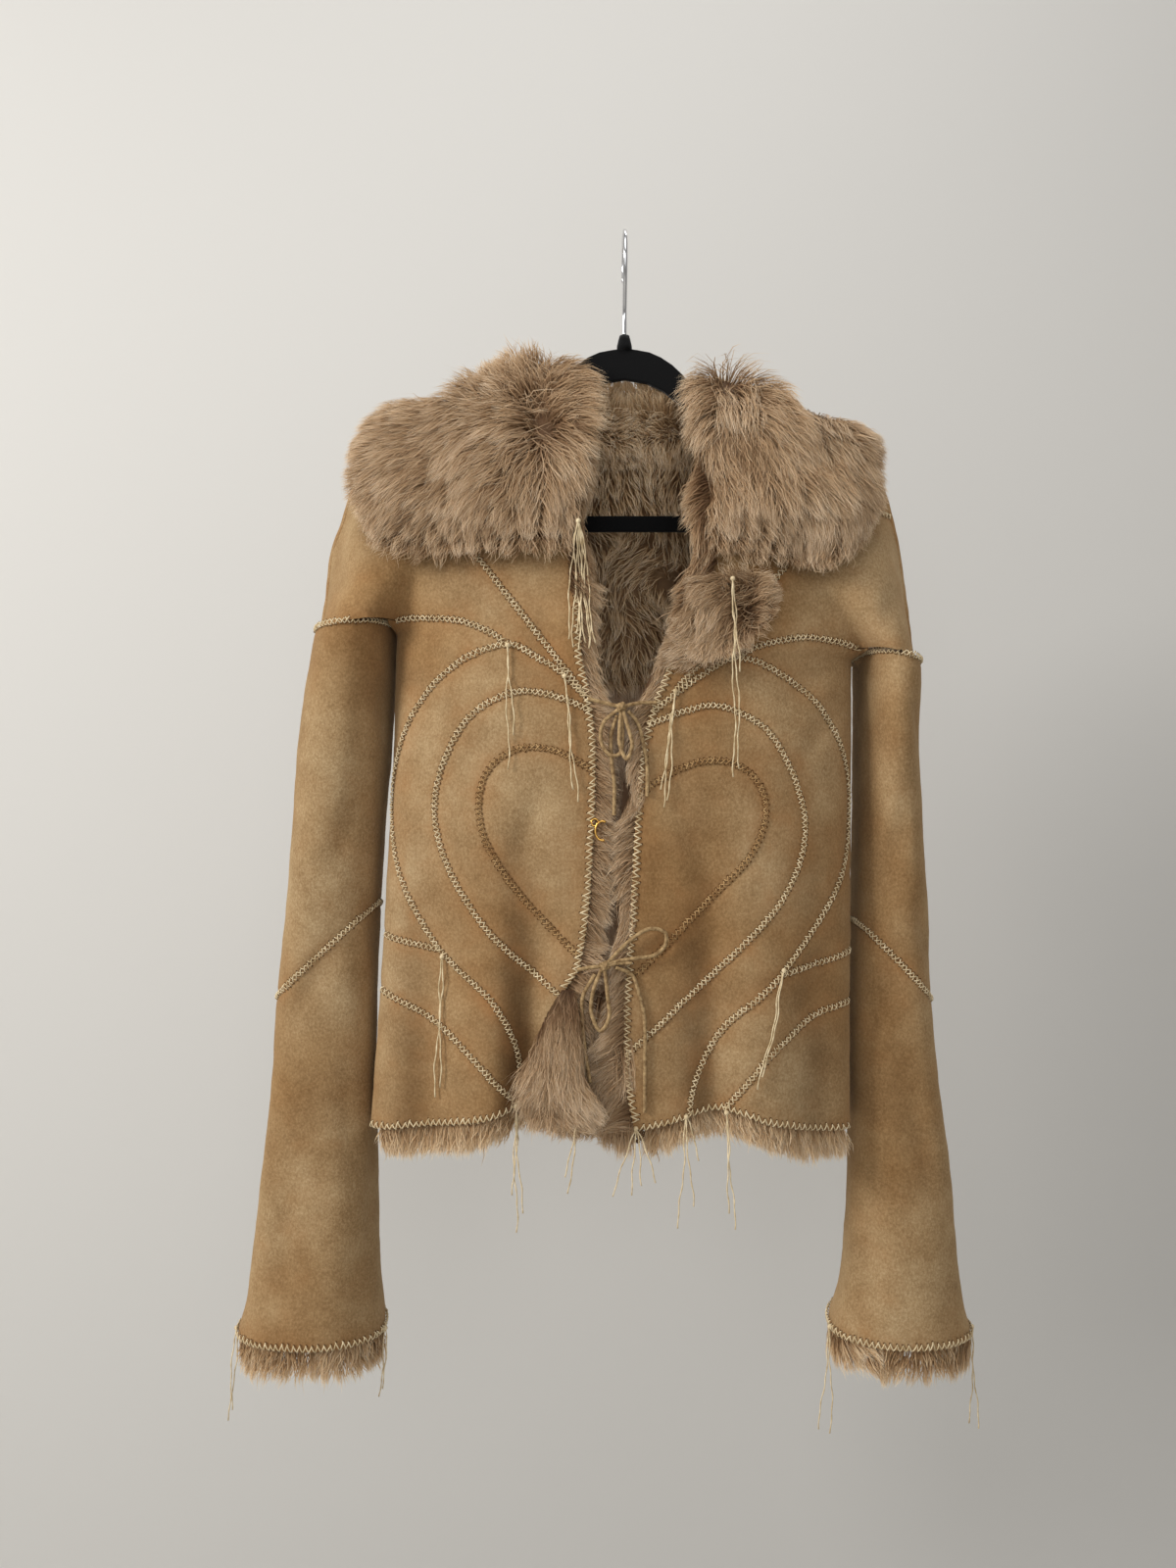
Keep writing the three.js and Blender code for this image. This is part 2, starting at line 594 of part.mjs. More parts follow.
// Fur collar. Each leaf lies on the yoke from its lower edge up to the ridge.
const underCollar = (side, x) => (Math.abs(x) < 62 ? mix(-120, -126.5, Math.max(0, Math.abs(x) - 30) / 32)
  : ridgeHeight[side](x));
const LEAF = {
  [LEFT]: table(['x', 'low', 'fur'], [[-203, -236, 6], [-192, -256, 13], [-172, -268, 17], [-120, -271, 21],
    [-80, -272, COLLAR_FUR], [-50, -273, 22], [-37, -266, 12]]),
  [RIGHT]: table(['x', 'low', 'fur'], [[56, -262, 12], [70, -274, 22], [100, -276, COLLAR_FUR], [146, -280, 21],
    [168, -268, 17], [182, -246, 12], [190, -222, 6]]),
};
function leafSection(side, face, x, t, low, fur) {
  const high = underCollar(side, x);
  const nearNeck = Math.abs(x) < 64;
  const drop = mix(high - low, nearNeck ? 3 : 0.4, t ** 0.75);
  const z = high - drop;
  const cloth = face === FRONT ? frontY : backY;
  const depth = (d) => (nearNeck ? Math.max(3.4, TENT(d)) : Math.max(0.2, Math.abs(cloth(x, high - d)) - HALF_SEAM));
  const y = depth(drop);
  const rise = depth(drop + 1) - depth(Math.max(0.2, drop - 1));
  const normal = new THREE.Vector2(2, rise).normalize();
  const thick = 1.6 + fur * Math.min(1, lobe(1 - Math.min(1, t * 2.2), 2.4));
  const lift = mix(2.6, 3.8, smooth(0, 0.5, t)) + (face === BACK ? 0.6 : 0);
  return [
    point(x, face * (y + normal.x * (thick + lift) + HALF_SEAM), z + normal.y * (thick + lift)),
    point(x, face * (y + normal.x * lift + HALF_SEAM), z + normal.y * lift),
  ];
}
function addLeaf(side, from, to) {
  const name = side === LEFT ? 'collar_left' : 'collar_right';
  const across = steps(10).map((t) => mix(from, to, t));
  addSlab(name, across, steps(7), (x, t) => leafSection(side, FRONT, x, t, LEAF[side].low(x), LEAF[side].fur(x)),
    'fur', true);
}
addLeaf(LEFT, -203, -37);
addLeaf(RIGHT, 56, 190);

const COLLAR_BACK_LOW = table(['x', 'low', 'fur'], [[-202, -222, 6], [-180, -242, 16], [-100, -252, 22],
  [0, -255, COLLAR_FUR], [100, -252, 22], [172, -244, 16], [189, -220, 6]]);
function standSection(x, t, low, fur) {
  const z = mix(low, -121, t ** 0.8);
  const base = backY(x, Math.min(z, -142)) + 2.2;
  const thick = 2 + fur * Math.min(1, lobe(1 - Math.min(1, t * 2.2), 2.4));
  return [point(x, base + thick, z + 11 * t * t), point(x, base, z)];
}
addSlab('collar_back', steps(14).map((t) => mix(-202, 189, t)), steps(6), (x, t) => {
  const low = COLLAR_BACK_LOW.low(x);
  const fur = COLLAR_BACK_LOW.fur(x);
  const laid = leafSection(x < 0 ? LEFT : RIGHT, BACK, x, t, low, fur);
  const standing = standSection(x, t, low, fur);
  const stand = smooth(74, 52, Math.abs(x));
  return [0, 1].map((layer) => laid[layer].lerp(standing[layer], stand));
}, 'fur', false);

// The wool side that shows inside the back neck.
addSlab('lining_back', steps(7).map((t) => mix(-105, 108, t)), steps(6), (x, t) => {
  const z = mix(-352, -150 - 5 * Math.abs(x) / 30, t);
  const outer = backY(x, z) - LEATHER - 2.4;
  const thick = Math.min(13 * round(t) + 2, Math.max(1.6, outer - 5));
  return [point(x, outer, z), point(x, outer - thick, z)];
}, 'fur', false);

// Lapel: the upper corner of the right front, turned out with its wool showing.
const LAPEL = table(['z', 'left', 'right'], [[-284, 50, 99], [-296, 45, 104], [-312, 41, 102], [-326, 37, 86],
  [-336, 34, 66], [-345, 33, 44]]);
addSlab('lapel_right', steps(6), steps(5).map((t) => mix(-284, -345, t)), (s, z) => {
  const x = mix(LAPEL.left(z), LAPEL.right(z), s);
  const base = frontY(x, z) - LIFT;
  const thick = 2 + 12 * lobe(2 * s - 1, 3) * smooth(-347, -335, z);
  return [point(x, base - thick, z), point(x, base, z)];
}, 'fur', false);

// Corner: the lower end of the left front, turned out with its wool showing.
const CORNER = table(['z', 'left', 'right'], [[-585, -47, -40], [-600, -57, -37.5], [-612, -63, -37],
  [-630, -67.5, -36.5], [-650, -67, -36.5], [-664, -63, -36.5], [-682, -56, -38], [-694, -50, -40]]);
addSlab('corner_left', steps(5), steps(6).map((t) => mix(-585, -694, t)), (s, z) => {
  const x = mix(CORNER.left(z), CORNER.right(z), s);
  const base = Math.min(frontY(x, z), frontY(x - 6, z)) - LIFT - 1.2;
  const thick = 2 + 11 * lobe(2 * s - 1, 3) * smooth(-697, -660, z) * smooth(-584, -604, z);
  return [point(x, base - thick, z), point(x, base, z)];
}, 'fur', false);

// Wool along the front edges, from just behind the leather out into the gap.
const MEET = -13.3;
const EDGE_SEAT = 1.4;
function addEdgeFur(side, from, to) {
  const name = side === LEFT ? 'edge_fur_left' : 'edge_fur_right';
  const levels = steps(14).map((t) => mix(from, to, t));
  addSlab(name, steps(1), levels, (s, z) => {
    const edge = FRONT_EDGE[side](z);
    const hidden = edge + side * 9;
    const free = side === LEFT ? Math.min(edge + 13, MEET - 0.4) : Math.max(edge - 15, MEET + 0.4);
    const x = side === LEFT ? mix(hidden, free, s) : mix(free, hidden, s);
    const front = frontY(hidden, z) + LEATHER + EDGE_SEAT;
    return [point(x, front, z), point(x, front + EDGE_FUR, z)];
  }, 'fur', false);
}
addEdgeFur(LEFT, -285, -655);
addEdgeFur(RIGHT, -300, -702);

// Wool below the hem: a band just inside the leather, in one strip from front edge to front edge.
const HEM_SEAT = { [FRONT]: 2.6, [BACK]: 4.9 };
function hemBand(name, face, fromX, toX, count, hem) {
  addSlab(name, steps(count).map((t) => mix(fromX, toX, t)), steps(2), (x, t) => {
    const edge = hem(x);
    const z = mix(edge + 9, edge - HEM_FUR_DROP, t);
    const depth = depthAt(face, x, Math.max(z, -716)) - LEATHER - HEM_SEAT[face];
    return [point(x, face * depth, z), point(x, face * (depth - mix(9, 5, t)), z)];
  }, 'fur', face === BACK);
}
hemBand('hem_fur_left', FRONT, -186, -32, 12, HEM);
hemBand('hem_fur_right', FRONT, 16, 164, 12, HEM);
hemBand('hem_fur_back', BACK, -184, 164, 16, BACK_HEM);

// Wool at the cuffs: a ring inside the leather, hanging below it.
function addCuffFur(side) {
  const name = side === LEFT ? 'cuff_fur_left' : 'cuff_fur_right';
  const tube = sleeve(side);
  addSlab(name, sleeveColumns, steps(2), (a, t) => {
    const flip = side === LEFT ? -1 : 1;
    const z = mix(CUFF_Z[side] + 12, CUFF_Z[side] - CUFF_FUR_DROP, t);
    const hold = Math.max(z, -871);
    const out = tube(a, hold);
    const normal = normalAt(tube, a, Math.max(hold, -866), flip);
    normal.z = 0;
    normal.normalize();
    const outer = out.clone().addScaledVector(normal, -LEATHER - 0.9);
    const inner = out.clone().addScaledVector(normal, -LEATHER - mix(9, 6, t));
    outer.z = z;
    inner.z = z;
    return [outer, inner];
  }, 'fur', side === LEFT);
}
addCuffFur(LEFT);
addCuffFur(RIGHT);

// Hanger: flat arms with an arched middle, a cross bar, and a wire hook turned end-on.
const HANGER = { thick: 5, tip: 181, barTop: -223, barLow: -235.5, barEnd: 159 };
const ARM_TOP = table(['x', 'z'], [[0, -89.7], [20, -93], [38, -103], [47, -111.5], [56, -125.5], [66, -132.6],
  [90, -137 - HANGER_SEAT], [130, -151.4 - HANGER_SEAT], [162, -167], [172, -173], [178, -180], [181, -188]]).z;
const ARM_UNDER = table(['x', 'z'], [[0, -114.6], [19, -118], [34, -126], [44, -134.5], [55, -141], [64, -144.5],
  [90, -156], [130, -172], [150, -183], [162, -196]]).z;
function solidOf(geometry) {
  const plain = geometry.clone();
  plain.deleteAttribute('normal');
  plain.deleteAttribute('uv');
  const merged = mergeVertices(plain, 1e-4);
  return new wasm.Manifold(new wasm.Mesh({
    numProp: 3,
    vertProperties: new Float32Array(merged.attributes.position.array),
    triVerts: new Uint32Array(merged.index.array),
  }));
}
function geometryFrom(solid) {
  const mesh = solid.getMesh();
  const geometry = new THREE.BufferGeometry();
  geometry.setAttribute('position', new THREE.BufferAttribute(mesh.vertProperties, 3));
  geometry.setIndex(new THREE.BufferAttribute(mesh.triVerts, 1));
  return geometry;
}
const join = (parts) => geometryFrom(parts.map(solidOf).reduce((a, b) => a.add(b)));

function plate(outlinePoints) {
  const shape = new THREE.Shape(outlinePoints.map(([x, z]) => new THREE.Vector2(x, z)));
  const bevel = 0.8;
  const geometry = new THREE.ExtrudeGeometry(shape, {
    depth: HANGER.thick - 2 * bevel, bevelEnabled: true, bevelThickness: bevel, bevelSize: bevel,
    bevelOffset: -bevel, bevelSegments: 1,
  });
  return geometry.rotateX(Math.PI / 2).translate(0, HANGER.thick / 2 - bevel, 0);
}
const armX = [6, 20, 34, 47, 56, 66, 90, 130, 162, 172, 178, HANGER.tip];
const underX = [162, 140, 110, 84, 64, 44, 18];
const tipDown = [[181, -200], [179, -218], [173, -230], [165, HANGER.barLow], [159.6, HANGER.barLow],
  [160.5, HANGER.barTop], [163.5, -208]];
const rightHalf = [...armX.map((x) => [x, ARM_TOP(x)]), ...tipDown, ...underX.map((x) => [x, ARM_UNDER(x)])];
const armOutline = [...rightHalf, ...rightHalf.map(([x, z]) => [-x, z]).reverse()];
const collarPlug = new THREE.LatheGeometry([[0, -79.6], [4, -79.6], [6, -88], [6, -92], [0, -92]]
  .map(([r, z]) => new THREE.Vector2(r, z)).reverse(), 12);
collarPlug.rotateX(Math.PI / 2);
add('hanger_arms', join([plate(armOutline), collarPlug]), 'velvet');
const { barTop, barLow, barEnd } = HANGER;
add('hanger_bar', plate([[-barEnd, barTop], [barEnd, barTop], [barEnd, barLow], [-barEnd, barLow]]), 'velvet');

// A round section swept along a smooth line through the points given.
function sweep(points, diameter, sides, count) {
  const curve = new THREE.CatmullRomCurve3(points, false, 'centripetal');
  const section = new THREE.Shape(Array.from({ length: sides }, (unused, i) => new THREE.Vector2(
    diameter / 2 * Math.cos(2 * Math.PI * i / sides), diameter / 2 * Math.sin(2 * Math.PI * i / sides))));
  return new THREE.ExtrudeGeometry(section, { steps: count, bevelEnabled: false, extrudePath: curve });
}
const HOOK_WIRE = 3.5;
const HOOK_RADIUS = 20 + HOOK_WIRE / 2;
const hookPoints = [[0, -79.2], [0, -72], [-1, -62], [-8, -50], [-17, -37], [-21.5, -25]]
  .map(([y, z]) => point(0, y, z));
for (let turn = 180; turn >= -20; turn -= 20) {
  const angle = THREE.MathUtils.degToRad(turn);
  hookPoints.push(point(0, HOOK_RADIUS * Math.cos(angle), HOOK_RADIUS * (Math.sin(angle) - 1) + HOOK_WIRE / 2));
}
add('hanger_hook', sweep(hookPoints, HOOK_WIRE, 6, 22), 'chrome');

// Places seen in the front view: x, z on the front, lifted off it.
const onFront = (lift) => ([x, z]) => {
  const base = z > -700 && x > -200 && x < 185 ? frontY(x, Math.max(z, -690)) : -78;
  return point(x, base - lift, z);
};

// Bows. The loops, the knot and the leads from the front edges are one piece; the tails hang free.
const LACE_LIFT = 5.5;
const BOWS = {
  upper: {
    knot: [-5, -380],
    leads: [[[-29, -374], [-17, -377], [-5, -380]], [[21, -377], [9, -377], [-5, -380]]],
    loops: [
      [[-6, -381], [-18, -392], [-19.5, -405], [-13, -415], [-6, -414], [-4, -400], [-5, -383]],
      [[-4, -381], [0, -395], [3, -408], [-1, -418], [-6, -407], [-6, -394], [-5, -383]],
    ],
    tails: {
      left: [[-8, -386], [-12, -400], [-12, -416], [-10, -436], [-10, -459]],
      right: [[0, -383], [7, -391], [11, -405], [14, -423], [14, -445]],
    },
  },
  lower: {
    knot: [-17, -568],
    leads: [[[-37, -571], [-27, -569], [-17, -568]], [[3, -566], [-7, -566], [-17, -568]]],
    loops: [
      [[-16, -567], [1, -550], [16, -541], [27, -544], [27, -553], [20, -560], [1, -563], [-15, -566]],
      [[-19, -570], [-25, -585], [-26.5, -602], [-20, -615], [-14, -606], [-15, -588], [-17, -571]],
    ],
    tails: {
      left: [[-24, -574], [-33, -592], [-33, -610], [-31, -632], [-27.5, -654]],
      right: [[-9, -569], [3, -575], [8, -588], [12, -606], [12.5, -640], [12.5, -676]],
    },
  },
};
function addBow(name, bow) {
  const lift = onFront(LACE_LIFT + 1);
  const knot = lift(bow.knot);
  const lump = new THREE.SphereGeometry(4.6, 8, 6).scale(1.15, 0.8, 0.95).translate(knot.x, knot.y, knot.z);
  const ribbons = [...bow.leads, ...bow.loops].map((path, i) => {
    const raised = path.map(onFront(LACE_LIFT + (i === 3 ? 2.5 : 0.5)));
    raised.forEach((p) => {
      p.y = mix(knot.y, p.y, smooth(3, 14, Math.hypot(p.x - knot.x, p.z - knot.z)));
    });
    return sweep(raised, LACE, 5, Math.round(path.length * 1.6));
  });
  add(`bow_${name}`, join([lump, ...ribbons]), 'lace');
  for (const [side, path] of Object.entries(bow.tails)) {
    const away = path.map((place, i) => onFront(i === 0 ? LACE_LIFT + 0.5 : 2.4)(place));
    add(`tie_${name}_${side}`, sweep(away, LACE, 8, path.length * 2), 'lace');
  }
}
addBow('upper', BOWS.upper);
addBow('lower', BOWS.lower);

// Thread tails: a small head on the seam and loose strands that hang from it.
const TASSELS = [
  { name: 'thread_neck_left', root: [-36, -246], lift: 26, ends: [[-41, -330], [-37.5, -336], [-34, -338], [-31, -333],
    [-28, -335], [-25, -333]] },
  { name: 'thread_neck_right', root: [76, -287], lift: 16.9, rest: 18, ends: [[81, -355], [76, -431], [79, -425]] },
  { name: 'thread_yoke_left', root: [-88, -334], lift: 2.5, ends: [[-87, -425], [-84, -400]] },
  { name: 'thread_front_left', root: [-46, -357], lift: 2.5, ends: [[-36, -449], [-40, -440]] },
  { name: 'thread_front_right', root: [35, -368], lift: 2.5, ends: [[26, -453], [29, -448], [23, -440]] },
  { name: 'thread_side_left', root: [-137, -564], lift: 2.5, ends: [[-142, -668], [-139, -660]] },
  { name: 'thread_side_right', root: [115, -573], lift: 2.5, ends: [[96, -659], [99, -650]] },
  { name: 'thread_hem_left', root: [-82, -674], lift: 2.6, ends: [[-80, -762], [-77, -748], [-84, -735]] },
  { name: 'thread_hem_centre', root: [6, -688], lift: 2.6, ends: [[-9, -736], [4, -735], [10, -728], [19, -726]] },
  { name: 'thread_hem_right', root: [43, -680], lift: 2.6, ends: [[38, -759], [47, -743], [52, -710]] },
];
function addTassel({ name, root, lift, rest = 3, ends }) {
  const head = onFront(lift)(root);
  const parts = [new THREE.SphereGeometry(1.9, 6, 4).translate(head.x, head.y, head.z)];
  ends.forEach((end, i) => {
    const shift = (i - (ends.length - 1) / 2) * 0.9;
    const path = [0, 0.12, 0.45, 1].map((t) => {
      const x = mix(root[0], end[0], t) + shift * smooth(0, 0.15, t);
      const z = mix(root[1], end[1], t);
      const base = onFront(rest)([x, z]).y;
      return point(x, mix(head.y, base, smooth(0, 0.5, t)) - 0.4 * (i % 2), z);
    });
    parts.push(sweep(path, THREAD, 3, 3));
  });
  add(name, join(parts), 'thread');
}
TASSELS.forEach(addTassel);

const CUFF_TAILS = [
  { name: 'thread_cuff_left_outer', x: -304, side: LEFT, ends: [[-309, -940], [-306, -932]] },
  { name: 'thread_cuff_left_inner', x: -193, side: LEFT, ends: [[-199, -922], [-196, -915]] },
  { name: 'thread_cuff_right_inner', x: 166, side: RIGHT, ends: [[160, -948], [168, -950]] },
  { name: 'thread_cuff_right_outer', x: 271.8, side: RIGHT, ends: [[270, -943], [274, -946]] },
];
for (const { name, x, side, ends } of CUFF_TAILS) {
  const outward = Math.sign(x - (SLEEVE[side].outer(CUFF_Z[side]) + SLEEVE[side].inner(CUFF_Z[side])) / 2);
  const root = point(x + outward * 3.4, -4, CUFF_Z[side] + 2);
  const parts = [new THREE.SphereGeometry(1.9, 6, 4).translate(root.x, root.y, root.z)];
  ends.forEach(([endX, endZ], i) => {
    const path = [0, 0.3, 0.65, 1].map((t) => point(
      mix(root.x, endX + outward * 5, t) + (i - 0.5) * 2 * smooth(0, 0.3, t), root.y, mix(root.z, endZ, t)));
    parts.push(sweep(path, THREAD, 3, 4));
  });
  add(name, join(parts), 'thread');
}

export default group;
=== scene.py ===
"""Looks of a cropped shearling jacket on a slim hanger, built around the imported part. Lengths below are in
millimetres in the part's own frame and become metres in the meshes."""

import math

import bpy
import numpy as np
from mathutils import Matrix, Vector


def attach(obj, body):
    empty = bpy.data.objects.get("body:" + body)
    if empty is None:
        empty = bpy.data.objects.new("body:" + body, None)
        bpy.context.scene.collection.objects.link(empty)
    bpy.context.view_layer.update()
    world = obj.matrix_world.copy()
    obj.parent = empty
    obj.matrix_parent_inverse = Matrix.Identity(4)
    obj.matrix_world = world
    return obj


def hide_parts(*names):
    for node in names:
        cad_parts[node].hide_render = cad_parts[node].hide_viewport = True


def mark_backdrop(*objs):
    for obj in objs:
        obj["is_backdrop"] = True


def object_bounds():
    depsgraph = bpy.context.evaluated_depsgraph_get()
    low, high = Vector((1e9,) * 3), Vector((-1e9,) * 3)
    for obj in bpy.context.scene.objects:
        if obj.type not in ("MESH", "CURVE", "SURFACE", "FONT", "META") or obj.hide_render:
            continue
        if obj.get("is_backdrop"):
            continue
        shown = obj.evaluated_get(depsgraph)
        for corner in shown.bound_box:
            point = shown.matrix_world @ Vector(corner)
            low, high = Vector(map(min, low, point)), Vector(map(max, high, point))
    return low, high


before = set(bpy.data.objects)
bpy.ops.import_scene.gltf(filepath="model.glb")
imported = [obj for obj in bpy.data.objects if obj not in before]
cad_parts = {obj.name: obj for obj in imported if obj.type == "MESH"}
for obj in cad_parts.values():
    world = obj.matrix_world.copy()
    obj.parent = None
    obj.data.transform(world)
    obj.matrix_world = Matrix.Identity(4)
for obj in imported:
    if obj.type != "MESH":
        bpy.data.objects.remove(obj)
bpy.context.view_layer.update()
MM = 0.001
LEFT, RIGHT, FRONT, BACK = -1, 1, -1, 1
SIDES = {LEFT: "left", RIGHT: "right"}
rng = np.random.default_rng(20)
DENSITY = 1.0

# ---------------------------------------------------------------- camera
# Level with the middle of the jacket and 0.94 m in front of the hanger's plane.
camera = bpy.data.objects.new("camera", bpy.data.cameras.new("camera"))
bpy.context.scene.collection.objects.link(camera)
camera.location = (-0.029, -0.936, -0.436)
camera.rotation_euler = (math.pi / 2, 0, 0)
camera.data.lens = 27
camera.data.sensor_width = 36
camera.data.clip_start = 0.01
bpy.context.scene.camera = camera


# ---------------------------------------------------------------- materials
def srgb(r, g, b):
    """The linear colour of a screen colour given as 0 to 255."""
    def linear(v):
        return v / 12.92 if v <= 0.04045 else ((v + 0.055) / 1.055) ** 2.4
    return (*(linear(v / 255) for v in (r, g, b)), 1.0)


WHITE = (1, 1, 1, 1)


class Surface:
    """A material, with a short call for each kind of node that the pieces need."""

    def __init__(self, name, roughness, specular, more=()):
        self.made = bpy.data.materials.new(name)
        self.made.use_nodes = True
        self.nodes, self.links = self.made.node_tree.nodes, self.made.node_tree.links
        self.shader = self.nodes["Principled BSDF"]
        for key, value in {"Roughness": roughness, "Specular IOR Level": specular, **dict(more)}.items():
            self.shader.inputs[key].default_value = value

    def color(self, source):
        self.links.new(source, self.shader.inputs["Base Color"])

    def ramp(self, source, *stops):
        node = self.nodes.new("ShaderNodeValToRGB")
        bar = node.color_ramp.elements
        for end, (position, color) in ((bar[0], stops[0]), (bar[1], stops[-1])):
            end.position, end.color = position, color
        for position, color in stops[1:-1]:
            bar.new(position).color = color
        self.links.new(source, node.inputs["Fac"])
        return node.outputs["Color"]

    def noise(self, scale, detail=4, rough=0.55, stretch=None):
        node = self.nodes.new("ShaderNodeTexNoise")
        for key, value in (("Scale", scale), ("Detail", detail), ("Roughness", rough)):
            node.inputs[key].default_value = value
        source = self.nodes.new("ShaderNodeNewGeometry").outputs["Position"]
        if stretch:
            mapping = self.nodes.new("ShaderNodeMapping")
            mapping.inputs["Scale"].default_value = stretch
            self.links.new(source, mapping.inputs["Vector"])
            source = mapping.outputs["Vector"]
        self.links.new(source, node.inputs["Vector"])
        return node.outputs["Fac"]

    def blend(self, kind, factor, a, b):
        node = self.nodes.new("ShaderNodeMix")
        node.data_type, node.blend_type = "RGBA", kind
        for key, value in (("Factor", factor), ("A", a), ("B", b)):
            socket = [s for s in node.inputs if s.name == key and s.enabled][0]
            if isinstance(value, (int, float, tuple)):
                socket.default_value = value
            else:
                self.links.new(value, socket)
        return [s for s in node.outputs if s.enabled][0]

    def attribute(self, name):
        node = self.nodes.new("ShaderNodeAttribute")
        node.attribute_type, node.attribute_name = "GEOMETRY", name
        return node.outputs["Fac"]

    def bump(self, height, strength, distance, over=None):
        node = self.nodes.new("ShaderNodeBump")
        node.inputs["Strength"].default_value = strength
        node.inputs["Distance"].default_value = distance
        self.links.new(height, node.inputs["Height"])
        if over is not None:
            self.links.new(over, node.inputs["Normal"])
        self.links.new(node.outputs["Normal"], self.shader.inputs["Normal"])
        return node.outputs["Normal"]


def suede_material():
    suede = Surface("suede", 0.92, 0.18, {"Sheen Weight": 0.25, "Sheen Roughness": 0.6,
                                          "Sheen Tint": srgb(225, 195, 150)})
    tan = suede.ramp(suede.noise(26, 5, 0.6), (0.26, srgb(146, 121, 88)), (0.5, srgb(163, 138, 103)),
                     (0.74, srgb(180, 156, 120)))
    nap = suede.ramp(suede.noise(560, 4, 0.72, (1, 1, 0.85)), (0.34, srgb(108, 84, 54)),
                     (0.5, srgb(163, 138, 103)), (0.66, srgb(204, 182, 148)))
    broad = suede.ramp(suede.noise(7, 3, 0.5), (0.34, srgb(216, 198, 174)), (0.62, srgb(248, 246, 242)))
    stain = suede.ramp(suede.noise(13, 5, 0.62), (0.38, srgb(214, 194, 166)), (0.6, WHITE))
    # Painted shade: the leather is darkened where its long upright folds dip, and on their side away from the window.
    painted_dip_shade = suede.ramp(suede.attribute("fold_painted_shade"), (0.0, WHITE), (1.0, srgb(148, 134, 118)))
    color = suede.blend("MIX", 0.38, tan, nap)
    for strength, shade in ((0.45, stain), (1.0, painted_dip_shade), (1.0, broad)):
        color = suede.blend("MULTIPLY", strength, color, shade)
    # Handling and glue darken the leather in patches beside its seams, which is real wear; the same mix also darkens
    # the dips of the leather's small waves, which is painted shade.
    seam_wear_and_dip_shade = suede.nodes.new("ShaderNodeMath")
    seam_wear_and_dip_shade.operation = "MULTIPLY"
    patchy = suede.ramp(suede.noise(45, 3, 0.6), (0.35, (0.12, 0.12, 0.12, 1)), (0.68, (0.85, 0.85, 0.85, 1)))
    suede.links.new(suede.attribute("seam"), seam_wear_and_dip_shade.inputs[0])
    suede.links.new(patchy, seam_wear_and_dip_shade.inputs[1])
    suede.color(suede.blend("MIX", seam_wear_and_dip_shade.outputs[0], color, srgb(150, 106, 64)))
    broad_bump = suede.bump(suede.noise(55, 5, 0.6), 0.3, 0.0014)
    suede.bump(suede.noise(620, 3, 0.7), 0.55, 0.0006, broad_bump)
    return suede.made


def wool_material():
    wool = Surface("wool_inside", 1, 0.05)
    wool.color(wool.ramp(wool.noise(120, 5, 0.7, (1, 1, 0.35)), (0.3, srgb(158, 124, 98)), (0.7, srgb(224, 198, 168))))
    wool.bump(wool.noise(170, 5, 0.75, (1, 1, 0.3)), 0.9, 0.003)
    return wool.made


def fur_material(name, root, low, high, tip):
    fur = Surface(name, 0.62, 0.22)
    along = fur.ramp(fur.attribute("tone"), (0.0, root), (0.35, low), (0.75, high), (1.0, tip))
    vary = fur.ramp(fur.attribute("vary"), (0.0, srgb(138, 118, 98)), (0.45, srgb(220, 207, 190)),
                    (1.0, srgb(255, 252, 246)))
    fur.color(fur.blend("MULTIPLY", 1.0, along, vary))
    through = fur.nodes.new("ShaderNodeBsdfTranslucent")
    through.inputs["Color"].default_value = srgb(214, 184, 146)
    mixed = fur.nodes.new("ShaderNodeMixShader")
    mixed.inputs["Fac"].default_value = 0.28
    fur.links.new(fur.shader.outputs[0], mixed.inputs[1])
    fur.links.new(through.outputs[0], mixed.inputs[2])
    fur.links.new(mixed.outputs[0], fur.nodes["Material Output"].inputs["Surface"])
    return fur.made


def plain_material(name, color, roughness, specular, more=(), grain=0.0):
    plain = Surface(name, roughness, specular, {"Base Color": color, **dict(more)})
    if grain:
        plain.bump(plain.noise(900, 3, 0.6), grain, 0.0004)
    return plain.made


def mottled_material(name, dark, light, scale, roughness, grain):
    mottled = Surface(name, roughness, 0.15)
    mottled.color(mottled.ramp(mottled.noise(scale, 4, 0.6), (0.3, dark), (0.7, light)))
    mottled.bump(mottled.noise(2400, 2, 0.5), grain, 0.0003)
    return mottled.made


SUEDE = suede_material()
WOOL = wool_material()
FUR = fur_material("fur", srgb(84, 60, 42), srgb(148, 121, 94), srgb(206, 182, 152), srgb(250, 236, 214))
# A lighter copy of the fur: painted light for the shaded lining and inside of the neck, and for the wool at the hem
# and cuffs that looks lit through.
FUR_PAINTED_LIGHT = fur_material("fur_painted_light", srgb(124, 96, 68), srgb(188, 158, 122), srgb(232, 210, 176), srgb(255, 246, 228))
THREAD = mottled_material("thread", srgb(178, 155, 116), srgb(230, 213, 178), 160, 0.9, 0.5)
THREAD_DARK = mottled_material("thread_dark", srgb(128, 92, 54), srgb(190, 158, 112), 160, 0.9, 0.5)
# Painted shade: the colour of the dark discs at the needle holes.
HOLE_SHADE = plain_material("stitch_hole_shade", srgb(84, 56, 32), 1.0, 0.05)
LACE = mottled_material("lace", srgb(104, 78, 48), srgb(184, 156, 114), 300, 0.8, 0.7)
VELVET = plain_material("velvet", srgb(10, 10, 11), 0.95, 0.1, {"Sheen Weight": 0.12}, grain=0.6)
CHROME = plain_material("chrome", srgb(214, 214, 216), 0.14, 0.5, {"Metallic": 1.0})
BRASS = plain_material("brass", srgb(206, 160, 84), 0.25, 0.5, {"Metallic": 1.0})


